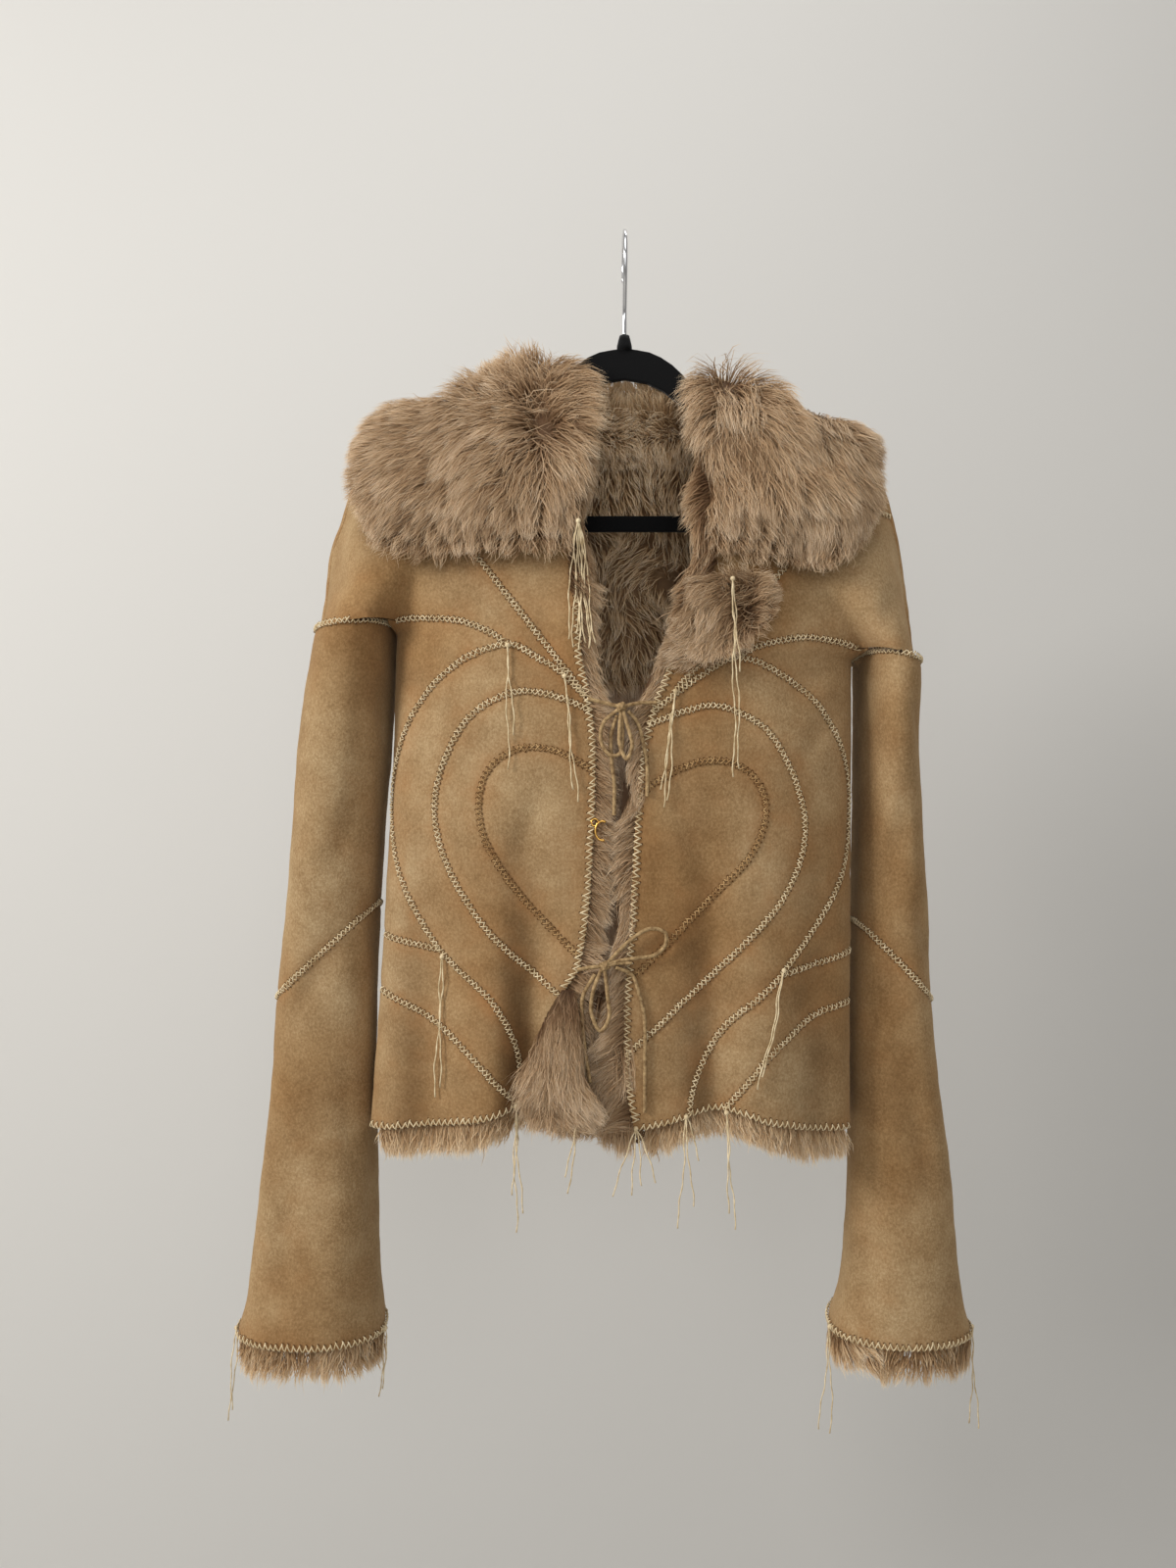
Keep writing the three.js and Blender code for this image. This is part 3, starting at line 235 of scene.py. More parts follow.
# ---------------------------------------------------------------- meshes
def build(name, points, triangles, mats, attributes=(), material_index=None, smooth=True):
    """One mesh object from an array of points in millimetres and an array of triangles."""
    points = np.asarray(points, np.float32) * MM
    triangles = np.asarray(triangles, np.int32)
    mesh = bpy.data.meshes.new(name)
    mesh.vertices.add(len(points))
    mesh.vertices.foreach_set("co", points.ravel())
    mesh.loops.add(triangles.size)
    mesh.loops.foreach_set("vertex_index", triangles.ravel())
    mesh.polygons.add(len(triangles))
    mesh.polygons.foreach_set("loop_start", np.arange(0, triangles.size, 3, dtype=np.int32))
    mesh.polygons.foreach_set("use_smooth", np.full(len(triangles), smooth))
    for mat in mats:
        mesh.materials.append(mat)
    if material_index is not None:
        mesh.polygons.foreach_set("material_index", np.asarray(material_index, np.int32))
    for key, values in dict(attributes).items():
        layer = mesh.attributes.new(key, "FLOAT", "POINT")
        layer.data.foreach_set("value", np.asarray(values, np.float32))
    mesh.update(calc_edges=True)
    made = bpy.data.objects.new(name, mesh)
    bpy.context.scene.collection.objects.link(made)
    return made


def finish_piece(obj, nodes=()):
    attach(obj, "root")
    if nodes:
        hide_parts(*nodes)
    return obj


def xyz(x, y, z):
    """Places or directions from three numbers or arrays that broadcast together."""
    return np.stack(np.broadcast_arrays(x, y, z), -1)


def unit(v):
    return v / np.maximum(np.linalg.norm(v, axis=-1, keepdims=True), 1e-9)


def tubes(paths, radius, sides, up=None, closed_ends=True):
    """Tubes along many paths at once. paths is N x K x 3 and radius a number or N x K."""
    paths = np.asarray(paths, float)
    count, steps = paths.shape[:2]
    along = np.empty_like(paths)
    along[:, 1:-1] = paths[:, 2:] - paths[:, :-2]
    along[:, 0] = paths[:, 1] - paths[:, 0]
    along[:, -1] = paths[:, -1] - paths[:, -2]
    along = unit(along)
    reference = np.broadcast_to(np.array([0.31, -0.9, 0.3]) if up is None else up[:, None, :], along.shape)
    side = unit(np.cross(along, reference))
    other = np.cross(side, along)
    turn = np.arange(sides) * 2 * np.pi / sides
    reach = np.broadcast_to(np.asarray(radius, float), (count, steps))[..., None, None]
    rings = paths[:, :, None] + reach * (side[:, :, None] * np.cos(turn)[:, None]
                                         + other[:, :, None] * np.sin(turn)[:, None])
    points = rings.reshape(-1, 3)
    start = (np.arange(count) * steps * sides)[:, None, None]
    level = (np.arange(steps - 1) * sides)[None, :, None]
    i = np.arange(sides)[None, None, :]
    j = (i + 1) % sides
    a, b = start + level + i, start + level + j
    c, d = a + sides, b + sides
    triangles = [np.stack([a, b, d], -1).reshape(-1, 3), np.stack([a, d, c], -1).reshape(-1, 3)]
    if closed_ends:
        k = np.arange(1, sides - 1)[None, :]
        first = (np.arange(count) * steps * sides)[:, None]
        last = first + (steps - 1) * sides
        triangles.append(np.stack([first + 0 * k, first + k + 1, first + k], -1).reshape(-1, 3))
        triangles.append(np.stack([last + 0 * k, last + k, last + k + 1], -1).reshape(-1, 3))
    return points, np.concatenate(triangles)


def join_parts(parts):
    points, triangles, base = [], [], 0
    for p, t in parts:
        points.append(p)
        triangles.append(t + base)
        base += len(p)
    return np.concatenate(points), np.concatenate(triangles)


def hermite(t, span, y0, y1, slope0, slope1):
    """A cubic stretch from y0 to y1 at t from 0 to 1, with its slopes for each unit of span."""
    return ((2 * t ** 3 - 3 * t ** 2 + 1) * y0 + (t ** 3 - 2 * t ** 2 + t) * span * slope0
            + (3 * t ** 2 - 2 * t ** 3) * y1 + (t ** 3 - t ** 2) * span * slope1)


def run_along(line):
    """The distance from a line's start to each of its points."""
    return np.r_[0, np.cumsum(np.linalg.norm(np.diff(line, axis=0), axis=1))]


def places_at(at, run, line):
    return np.stack([np.interp(at, run, line[:, k]) for k in range(line.shape[1])], 1)


def spline(points, count):
    """A smooth line through points, as count places evenly spaced along it."""
    points = np.asarray(points, float)
    chord = np.r_[0, np.cumsum(np.linalg.norm(np.diff(points, axis=0), axis=1) ** 0.5)]
    fine = np.linspace(0, chord[-1], 40 * len(points))
    slopes = np.gradient(points, chord, axis=0)
    i = np.clip(np.searchsorted(chord, fine, "right") - 1, 0, len(points) - 2)
    span = (chord[i + 1] - chord[i])[:, None]
    t = (fine - chord[i])[:, None] / span
    line = hermite(t, span, points[i], points[i + 1], slopes[i], slopes[i + 1])
    run = run_along(line)
    return places_at(np.linspace(0, run[-1], count), run, line)


def length_of(line):
    return float(np.linalg.norm(np.diff(np.asarray(line, float), axis=0), axis=1).sum())


# ---------------------------------------------------------------- the garment's shape, as in the part
def table(rows, column=1):
    """A smooth curve through one column of a table over its first, without overshoot."""
    rows = np.array(sorted(rows), float)
    x, y = rows[:, 0], rows[:, column]
    d = np.diff(y) / np.diff(x)
    slope = np.empty(len(x))
    slope[0], slope[-1] = d[0], d[-1]
    both = d[:-1] * d[1:]
    with np.errstate(divide="ignore", invalid="ignore"):
        slope[1:-1] = np.where(both <= 0, 0, 2 * both / (d[:-1] + d[1:]))

    def value(at):
        at = np.clip(at, x[0], x[-1])
        i = np.clip(np.searchsorted(x, at, "right") - 1, 0, len(x) - 2)
        span = x[i + 1] - x[i]
        return hermite((at - x[i]) / span, span, y[i], y[i + 1], slope[i], slope[i + 1])
    return value


def smooth(a, b, v):
    """0 at a, 1 at b and an S between."""
    t = np.clip((np.asarray(v, float) - a) / (b - a), 0, 1)
    return t * t * (3 - 2 * t)


def mix(a, b, t):
    return a + (b - a) * t


def lobe(u, power):
    """The height of a rounded hump over u from -1 to 1."""
    return np.maximum(0, 1 - np.abs(u) ** power) ** (1 / power)


def soft_max(a, b, soft):
    h = np.maximum(0, soft - np.abs(a - b)) / soft
    return np.maximum(a, b) + h * h * soft / 4


LEATHER = 2
HALF_SEAM = 0.2
CENTRE = -8
# The outline over the shoulder and sleeve head as x, z, from the neck out.
RIDGE = {
    LEFT: [[-60, -125.6], [-90, -137], [-130, -151.4], [-160, -156], [-180, -161], [-196, -169], [-204, -178],
           [-210, -188], [-215, -201], [-224, -231], [-232, -254], [-236, -289], [-241, -317]],
    RIGHT: [[60, -125.6], [90, -137], [130, -151.4], [160, -162.2], [180, -170], [189, -177], [198, -189],
            [206, -206], [211, -224], [216, -246], [221, -280], [226, -318], [229, -344]],
}
ARMPIT = {LEFT: -318, RIGHT: -338}
CREASE = {LEFT: -180, RIGHT: 183}
outline = {s: table([[z, x] for x, z in RIDGE[s]]) for s in RIDGE}
ridge_height = {s: table(RIDGE[s]) for s in RIDGE}
# z, left and right edge, share of the depth in front and behind.
BODY_ROWS = [[-300, -179, 179, 1, 0.95], [-340, -180, 178, 1, 0.95], [-400, -181, 177, 1.01, 0.95],
             [-470, -184, 176, 1.02, 0.94], [-550, -188, 175, 1.01, 0.92], [-630, -193, 174, 0.99, 0.9],
             [-720, -199, 174, 0.96, 0.88]]
BODY_EDGE = {LEFT: table(BODY_ROWS, 1), RIGHT: table(BODY_ROWS, 2)}
BODY_DEPTH = {FRONT: table(BODY_ROWS, 3), BACK: table(BODY_ROWS, 4)}
# z, outer and inner edge, depth in front and behind.
SLEEVE_ROWS = {
    LEFT: [[-300, -238, -181.5, 62, 62], [-340, -246, -183, 60, 60], [-408, -257, -186.5, 52, 55],
           [-467, -262, -191.5, 44, 52], [-537, -268, -195.5, 38, 50], [-604, -275, -198, 34, 50],
           [-670, -279, -198.5, 33, 52], [-748, -288, -197, 34, 54], [-810, -295, -196, 36, 56],
           [-842, -299, -193.5, 38, 57], [-871, -307, -190.5, 40, 58]],
    RIGHT: [[-300, 224, 184, 62, 62], [-344, 229, 186, 60, 60], [-408, 230, 185.5, 52, 55],
            [-468, 234, 184.5, 44, 52], [-537, 239, 182.5, 38, 50], [-604, 242, 180.5, 34, 50],
            [-670, 248, 180, 33, 52], [-748, 258, 179.5, 34, 54], [-810, 263, 176, 36, 56],
            [-842, 267, 172, 38, 57], [-871, 275, 162, 40, 58]],
}
SLEEVE = {s: [table(SLEEVE_ROWS[s], k) for k in (1, 2, 3, 4)] for s in SLEEVE_ROWS}
CUFF_Z = {LEFT: -869, RIGHT: -868}
# How far cloth stands from the plane at a drop below its ridge.
TENT = table([[0, 0], [1, 4], [4, 8.5], [10, 14], [25, 25], [60, 43], [100, 56], [150, 67], [200, 73], [320, 76]])
# Soft vertical folds: face, top x and z, end x, width, how far out.
FOLDS = [
    (FRONT, -96, -330, -103, 26, 7), (FRONT, -72, -420, -75, 16, -14), (FRONT, -150, -380, -152, 20, -5),
    (FRONT, 56, -390, 64, 16, -8), (FRONT, 105, -350, 100, 26, 5), (FRONT, 145, -400, 150, 18, -4),
    (BACK, -112, -300, -118, 24, 6), (BACK, -66, -360, -74, 18, -9), (BACK, 18, -330, 14, 26, 5),
    (BACK, 70, -400, 74, 18, -8), (BACK, 122, -300, 118, 24, 5)]
FOLD_END = -700
# Creases: face, from x z, to x z, half width, how deep (negative stands out).
CREASES = [
    (FRONT, -168, -322, -120, -352, 9, 2.6), (FRONT, -172, -345, -138, -392, 8, 2.0),
    (FRONT, -160, -330, -90, -338, 12, -1.6), (FRONT, -64, -300, -48, -352, 8, 2.0),
    (FRONT, -150, -560, -96, -600, 10, 2.2), (FRONT, -182, -610, -120, -652, 12, -2.2),
    (FRONT, -60, -440, -88, -520, 9, 2.0), (FRONT, -40, -520, -70, -600, 8, 1.8),
    (FRONT, 168, -345, 118, -372, 9, 2.6), (FRONT, 170, -372, 132, -420, 8, 1.8),
    (FRONT, 66, -305, 44, -352, 8, 1.8), (FRONT, 40, -462, 74, -520, 10, 1.8),
    (FRONT, 20, -560, 60, -620, 9, 2.2), (FRONT, 96, -590, 158, -640, 12, -2.2),
    (FRONT, 150, -560, 120, -640, 9, 2.0), (FRONT, -206, -220, -176, -262, 9, 2.2),
    (FRONT, 204, -236, 176, -272, 9, 2.2), (FRONT, -226, -262, -196, -306, 8, 2.0),
    (FRONT, 216, -282, 190, -322, 8, 2.0),
    (BACK, -165, -330, -110, -372, 10, 2.6), (BACK, 165, -345, 105, -380, 10, 2.4),
    (BACK, -170, -360, -140, -430, 9, 2.0), (BACK, 30, -470, 84, -540, 12, 1.8),
    (BACK, -20, -520, -70, -600, 12, 2.0), (BACK, 160, -560, 96, -612, 11, 2.2),
    (BACK, -206, -226, -176, -270, 9, 2.2), (BACK, 206, -240, 178, -280, 9, 2.0),
]
BODY_POWER, SLEEVE_POWER = 2.7, 2.3


def folds_at(face, x, z):
    """How far the long upright folds push the cloth out."""
    total = 0.0
    for side, top_x, top_z, end_x, width, out in FOLDS:
        if side != face:
            continue
        t = (top_z - z) / (top_z - FOLD_END)
        away = (x - mix(top_x, end_x, t)) / width
        total = total + np.where(t > 0, out * smooth(0, 1, t) * np.exp(-away * away), 0)
    return total


def creases_at(face, x, z):
    """How far the short creases push the cloth out."""
    total = 0.0
    for side, ax, az, bx, bz, width, deep in CREASES:
        if side != face:
            continue
        run = (bx - ax) ** 2 + (bz - az) ** 2
        t = np.clip(((x - ax) * (bx - ax) + (z - az) * (bz - az)) / run, 0, 1)
        bend = 4 * np.sin(np.pi * t)
        away = np.hypot(x - mix(ax, bx, t) - bend * (bz - az) / run ** 0.5,
                        z - mix(az, bz, t) + bend * (bx - ax) / run ** 0.5) / width
        total = total - 1.5 * deep * np.exp(-away * away) * (0.25 + 0.75 * np.sin(np.pi * t))
    return total


def crease_x(side, z):
    upper = side * np.minimum(abs(CREASE[side]), 0.88 * np.abs(outline[side](z)))
    return np.where(z < ARMPIT[side], BODY_EDGE[side](z), upper)


def sleeve_depth(side, face, x, z):
    outer, inner, front, back = (f(z) for f in SLEEVE[side])
    half = (outer - inner) / 2
    return (front if face == FRONT else back) * lobe((x - inner - half) / half, SLEEVE_POWER)


def depth_side(side, face, x, z):
    """How far the hung garment stands from the hanger's plane, on one side of the centre."""
    drop = np.maximum(0.2, ridge_height[side](x) - z)
    tent = TENT(drop)
    above = z - ARMPIT[side]
    factor = BODY_DEPTH[face](z)
    edge = BODY_EDGE[side](z)
    u = (x - CENTRE) / (edge - CENTRE)
    seam = face * (-20 / 390) * np.maximum(0, -310 - z)
    low = seam + (tent * factor - seam) * lobe(u, BODY_POWER) + smooth(1, 0.8, np.abs(u)) * folds_at(face, x, z)
    low = np.where(side * (x - edge) > 0.01, sleeve_depth(side, face, x, z), low)
    outer = outline[side](z)
    spread = 0.9 * np.maximum(above, 0)
    wide = side * np.minimum(np.abs(outer), abs(CREASE[side]) + spread)
    body = tent * factor * lobe((x - CENTRE) / (wide - CENTRE), BODY_POWER)
    inner = side * np.maximum(70, abs(CREASE[side]) - spread)
    half = (outer - inner) / 2
    head = np.where(side * (x - inner) <= 0, 0, tent * 0.98 * lobe((x - inner - half) / half, SLEEVE_POWER))
    high = soft_max(body, head, 1 + 8 * smooth(0, 60, above))
    return np.where(above <= 0, low, high)


def depth_at(face, x, z):
    x, z = np.broadcast_arrays(np.asarray(x, float), np.asarray(z, float))
    return np.where(x < CENTRE, depth_side(LEFT, face, x, z), depth_side(RIGHT, face, x, z))


def front_y(x, z):
    return -depth_at(FRONT, x, z) - HALF_SEAM - creases_at(FRONT, x, z)


def back_y(x, z):
    return depth_at(BACK, x, z) + 2 * HALF_SEAM + creases_at(BACK, x, z)


def shell_x(p, z):
    """x of a place p on a shell: 0 at the centre, 1 at the armhole's crease and 2 at the outline."""
    p, z = np.broadcast_arrays(np.asarray(p, float), np.asarray(z, float))
    crease = np.where(p < 0, crease_x(LEFT, z), crease_x(RIGHT, z))
    outer = np.where(p < 0, outline[LEFT](z), outline[RIGHT](z))
    far = np.abs(p)
    return np.where(far <= 1, CENTRE + (crease - CENTRE) * far, mix(crease, outer, far - 1))


def shell(face):
    """The outer face of the front or back, from a place p and a height z."""
    def place(p, z):
        x = shell_x(p, z)
        y = front_y(x, z) if face == FRONT else back_y(x, z)
        fade = smooth(2, 1.9, np.abs(p))
        plain = face * (depth_at(face, x, z) + (HALF_SEAM if face == FRONT else 2 * HALF_SEAM))
        return xyz(x, mix(plain, y, fade), z)
    return place


SLEEVE_TURN = math.pi * 0.06
# Sleeve creases: side, turn and z of the middle, half width round and down, slant, how deep.
SLEEVE_CREASES = [
    (LEFT, 0.62, -372, 0.05, 22, 0.0012, 2.2), (LEFT, 0.72, -470, 0.045, 34, -0.0010, 2.4),
    (LEFT, 0.60, -540, 0.05, 24, 0.0016, 2.4), (LEFT, 0.80, -590, 0.05, 30, -0.0014, 2.6),
    (LEFT, 0.68, -690, 0.045, 46, 0.0004, 2.2), (LEFT, 0.58, -770, 0.04, 50, -0.0003, 2.0),
    (LEFT, 0.83, -800, 0.05, 52, 0.0003, 2.6), (LEFT, 0.30, -520, 0.06, 40, 0.0010, 2.4),
    (LEFT, 0.20, -700, 0.05, 60, -0.0004, 2.4),
    (RIGHT, 0.88, -390, 0.05, 24, -0.0012, 2.2), (RIGHT, 0.76, -480, 0.045, 36, 0.0010, 2.4),
    (RIGHT, 0.90, -556, 0.05, 26, -0.0016, 2.4), (RIGHT, 0.70, -606, 0.05, 30, 0.0014, 2.6),
    (RIGHT, 0.82, -700, 0.045, 48, -0.0004, 2.2), (RIGHT, 0.66, -790, 0.05, 50, 0.0003, 2.6),
    (RIGHT, 0.30, -540, 0.06, 40, -0.0010, 2.4), (RIGHT, 0.22, -720, 0.05, 60, 0.0004, 2.4)]


def sleeve(side):
    """A sleeve's outer face, from a turn of 0 to 1 round it and a height z."""
    def place(turn, z):
        at = turn * 2 * np.pi - SLEEVE_TURN
        c, s = np.cos(at), np.sin(at)
        outer, inner, front, back = (f(z) for f in SLEEVE[side])
        reach = np.where(s < 0, front, back)
        ripple = 1 + 0.035 * np.sin(3 * at + z / 70) * smooth(-340, -420, z)
        dent = 0.0
        for crease_side, mid, level, wide, tall, slant, deep in SLEEVE_CREASES:
            if crease_side == side:
                away = ((turn - mid - slant * (z - level)) / wide) ** 2 + ((z - level) / tall) ** 2
                dent = dent + deep * np.exp(-away)
        dent = 1.4 * dent * smooth(-345, -380, z)
        x = (outer + inner) / 2 + ((outer - inner) / 2) * np.sign(c) * np.abs(c) ** (2 / SLEEVE_POWER)
        y = reach * ripple * np.sign(s) * np.abs(s) ** (2 / SLEEVE_POWER)
        return xyz(x - dent * c * np.sign(outer - inner), y - dent * s, z)
    return place


def normal_at(surface, a, b, flip):
    far = np.where(np.abs(a) <= 1, 1.0, 2.0)
    da, db = 0.004, 1.5
    along = surface(np.clip(a + da, -far, far), b) - surface(np.clip(a - da, -far, far), b)
    down = surface(a, b - db) - surface(a, b + db)
    return unit(np.cross(down, along)) * flip


# Seams in the front view.
PAST = 60


def catmull(points, count):
    """The same open Catmull-Rom line that the part's seams follow."""
    points = np.asarray(points, float)
    at = np.linspace(0, len(points) - 1, count)
    i = np.minimum(at.astype(int), len(points) - 2)
    t = (at - i)[:, None]
    p1, p2 = points[i], points[i + 1]
    p0 = points[np.where(i == 0, i, i - 1)]
    p3 = points[np.minimum(i + 2, len(points) - 1)]
    v0, v1 = (p2 - p0) / 2, (p3 - p1) / 2
    return (2 * p1 - 2 * p2 + v0 + v1) * t ** 3 + (-3 * p1 + 3 * p2 - 2 * v0 - v1) * t ** 2 + v0 * t + p1


def loop_field(points, ends):
    """The distance from a closed line, positive inside it."""
    ring = np.concatenate([catmull(points, 6 * len(points) + 1), np.asarray(ends, float)])
    nxt = np.roll(ring, -1, axis=0)

    def field(x, z):
        x, z = np.broadcast_arrays(np.asarray(x, float), np.asarray(z, float))
        shape = x.shape
        x, z = x.ravel(), z.ravel()
        inside = np.zeros(len(x), bool)
        near = np.full(len(x), 1e9)
        for a, b in zip(ring, nxt):
            crosses = (a[1] > z) != (b[1] > z)
            if a[1] != b[1]:
                inside ^= crosses & (x < (b[0] - a[0]) * (z - a[1]) / (b[1] - a[1]) + a[0])
            run = (b - a) @ (b - a)
            t = np.clip(((x - a[0]) * (b[0] - a[0]) + (z - a[1]) * (b[1] - a[1])) / run, 0, 1)
            near = np.minimum(near, np.hypot(x - mix(a[0], b[0], t), z - mix(a[1], b[1], t)))
        return np.where(inside, near, -near).reshape(shape)
    return field


RINGS = {
    LEFT: {"inner": [[-22, -428], [-52, -412], [-80, -410], [-101, -424], [-109, -447], [-104, -478], [-79, -517],
                     [-32, -566]],
           "middle": [[-20, -386], [-52, -372], [-85, -369], [-120, -390], [-142, -440], [-136, -490], [-101, -545],
                      [-42, -598]],
           "outer": [[-24, -380], [-48, -355], [-66, -343], [-89, -333], [-126, -346], [-157, -376], [-175, -415],
                     [-180, -458], [-170, -508], [-139, -559], [-101, -594], [-84, -625], [-79, -655], [-78, -720]]},
    RIGHT: {"inner": [[8, -443], [40, -424], [69, -419], [92, -430], [102, -454], [92, -486], [59, -522], [6, -576]],
            "middle": [[8, -396], [38, -384], [69, -379], [108, -402], [132, -461], [120, -512], [79, -560],
                       [-2, -636]],
            "outer": [[16, -385], [30, -374], [56, -355], [81, -343], [110, -352], [145, -378], [166, -415],
                      [171, -457], [160, -512], [113, -577], [74, -612], [54, -645], [46, -675], [44, -720]]},
}
UPPER_SEAM = {
    LEFT: table([[-260, -319], [-178, -311], [-170, -310.4], [-131, -313], [-105, -322], [-88, -334], [-60, -420]]),
    RIGHT: table([[60, -420], [80, -344.5], [100, -333], [137, -326.5], [160, -328.8], [170, -330.6], [260, -348]]),
}
COLLAR_SEAM = {LEFT: ([-112, -266], [-28, -375]), RIGHT: ([120, -272], [33, -370])}
LOWER_SEAM = {
    LEFT: table([[-230, -543], [-191, -550], [-139, -559], [-90, -567]]),
    RIGHT: table([[60, -590], [113, -577], [174, -563], [230, -550]]),
}
LOWEST_SEAM = {
    LEFT: table([[-240, -575], [-192, -591], [-148, -609], [-116, -635], [-91, -662], [-70, -686]]),
    RIGHT: table([[60, -690], [84, -661], [105, -636], [144, -607], [174, -601], [240, -590]]),
}
FRONT_EDGE = {
    LEFT: table([[-100, -40], [-277, -35], [-337, -34], [-374, -27], [-414, -23.5], [-508, -27], [-569, -35],
                 [-592, -47], [-720, -46]]),
    RIGHT: table([[-100, 60], [-262, 54], [-344, 32], [-380, 17.6], [-414, 9.4], [-533, 2], [-615, -2.5],
                  [-655, -1], [-691, 4.7], [-720, 8]]),
}
HEM = table([[-210, -700], [-138, -689], [-88, -678], [-70, -662], [-46, -668], [5, -690], [70, -677],
             [110, -688], [150, -696], [185, -699]])
BACK_HEM = table([[-210, -700], [-100, -703], [0, -700], [100, -703], [185, -699]])
BACK_YOKE = table([[-260, -319], [-178, -311], [-160, -309.5], [-60, -297], [50, -300], [160, -328.8],
                   [170, -330.6], [260, -348]])
SHOULDER_SEAM = {LEFT: lambda x: -177 + 0.35 * (-204 - x), RIGHT: lambda x: -224 + 0.1 * (x - 211)}
ELBOW = {LEFT: lambda x: mix(-531, -604, (-196 - x) / 79), RIGHT: lambda x: mix(-543, -606, (x - 181) / 61)}
loops = {}
for s in (LEFT, RIGHT):
    past = -s * PAST
    loops[s] = {
        "inner": loop_field(RINGS[s]["inner"], [[past, -590], [past, -420]]),
        "middle": loop_field(RINGS[s]["middle"], [[past, -640], [past, -386]]),
        "outer": loop_field(RINGS[s]["outer"], [[past, -740], [past, -400]]),
    }


def collar_field(side, x, z):
    high, low = COLLAR_SEAM[side]
    run = math.hypot(low[0] - high[0], low[1] - high[1])
    return -side * ((x - high[0]) * (low[1] - high[1]) - (z - high[1]) * (low[0] - high[0])) / run


def neck_field(x, z):
    return np.hypot((x - 5) / 71, (z + 118) / 22) * 22 - 22


# ---------------------------------------------------------------- leather panels
def grid(columns, rows):
    a, b = np.meshgrid(columns, rows)
    wide = len(columns)
    i = (np.arange(len(rows) - 1)[:, None] * wide + np.arange(wide - 1)[None, :]).ravel()
    triangles = np.concatenate([np.stack([i, i + wide, i + wide + 1], 1), np.stack([i, i + wide + 1, i + 1], 1)])
    return np.stack([a.ravel(), b.ravel()], 1), triangles


SNAP = 0.25
EDGE_KEY = 10_000_000


def clip(patch, field):
    """Keep the part of a patch where field is positive. What lies within SNAP of the line counts as on it."""
    places, triangles = patch
    values = field(places[:, 0], places[:, 1])
    values = np.where((values > 0) & (values < SNAP), 0.0, values)
    keep = values >= 0
    inside = keep[triangles]
    some = (values[triangles] > 0).any(1)
    count = inside.sum(1)
    out = [triangles[(count == 3) & some]]
    new_places, size = [], len(places)

    def cut(i, j):
        nonlocal size
        lo, hi = np.minimum(i, j), np.maximum(i, j)
        key, where = np.unique(lo.astype(np.int64) * EDGE_KEY + hi, return_inverse=True)
        lo, hi = key // EDGE_KEY, key % EDGE_KEY
        t0, t1 = np.zeros(len(key)), np.ones(len(key))
        v0, v1 = values[lo], values[hi]
        t = v0 / (v0 - v1)
        for _ in range(3):
            at = places[lo] + (places[hi] - places[lo]) * t[:, None]
            v = field(at[:, 0], at[:, 1])
            same = (v > 0) == (v0 > 0)
            t0, v0 = np.where(same, t, t0), np.where(same, v, v0)
            t1, v1 = np.where(same, t1, t), np.where(same, v1, v)
            t = t0 + (t1 - t0) * np.where(np.abs(v0 - v1) < 1e-9, 0.5, v0 / (v0 - v1))
        new_places.append(places[lo] + (places[hi] - places[lo]) * t[:, None])
        index = size + np.arange(len(key))
        size += len(key)
        return index[where.ravel()]

    def turned(chosen, wanted):
        """Triangles turned so that the one wanted corner comes first."""
        if not len(chosen):
            return chosen
        return chosen[np.arange(len(chosen))[:, None], (wanted[chosen].argmax(1)[:, None] + np.arange(3)) % 3]

    one, two = turned(triangles[(count == 1) & some], keep), turned(triangles[(count == 2) & some], ~keep)
    starts = np.concatenate([one[:, 0], one[:, 0], two[:, 0], two[:, 0]])
    ends = np.concatenate([one[:, 1], one[:, 2], two[:, 1], two[:, 2]])
    if len(starts):
        made = cut(starts, ends)
        n, m = len(one), len(two)
        ab, ac, cd, ce = made[:n], made[n:2 * n], made[2 * n:2 * n + m], made[2 * n + m:]
        out.append(np.stack([one[:, 0], ab, ac], 1))
        out.append(np.stack([cd, two[:, 1], two[:, 2]], 1))
        out.append(np.stack([cd, two[:, 2], ce], 1))
    places = np.concatenate([places, *new_places])
    triangles = np.concatenate(out)
    used, again = np.unique(triangles, return_inverse=True)
    return places[used], again.reshape(-1, 3)


def rim_edges(triangles):
    """Directed edges that have a triangle on one side only."""
    edges = np.concatenate([triangles[:, [0, 1]], triangles[:, [1, 2]], triangles[:, [2, 0]]])
    size = triangles.max() + 1
    forward = edges[:, 0].astype(np.int64) * size + edges[:, 1]
    backward = edges[:, 1].astype(np.int64) * size + edges[:, 0]
    return edges[~np.isin(forward, backward)]


def two_layers(triangles, outer, inner):
    count = len(outer)
    rim = rim_edges(triangles)
    i, j = rim[:, 0], rim[:, 1]
    points = np.concatenate([outer, inner, outer, inner])
    rims = np.concatenate([np.stack([j + 2 * count, i + 2 * count, i + 3 * count], 1),
                           np.stack([j + 2 * count, i + 3 * count, j + 3 * count], 1)])
    faces = np.concatenate([triangles, triangles[:, ::-1] + count, rims])
    kind = np.r_[np.zeros(len(triangles)), np.ones(len(triangles)), np.zeros(len(rims))]
    used, again = np.unique(faces, return_inverse=True)
    return points[used], again.reshape(-1, 3), kind, used % count


def waves(points, seed, size):
    """Smooth unevenness from a few crossing waves."""
    local = np.random.default_rng(seed)
    total = np.zeros(points.shape[:-1])
    for _ in range(5):
        direction = unit(local.normal(size=3))
        total += np.sin(points @ direction * 2 * np.pi / (size * local.uniform(0.7, 1.5)) + local.uniform(0, 6.3))
    return total / 5


def area_of(points, triangles):
    a, b, c = (points[triangles[:, k]] for k in range(3))
    return float(np.linalg.norm(np.cross(b - a, c - a), axis=1).sum() / 2)


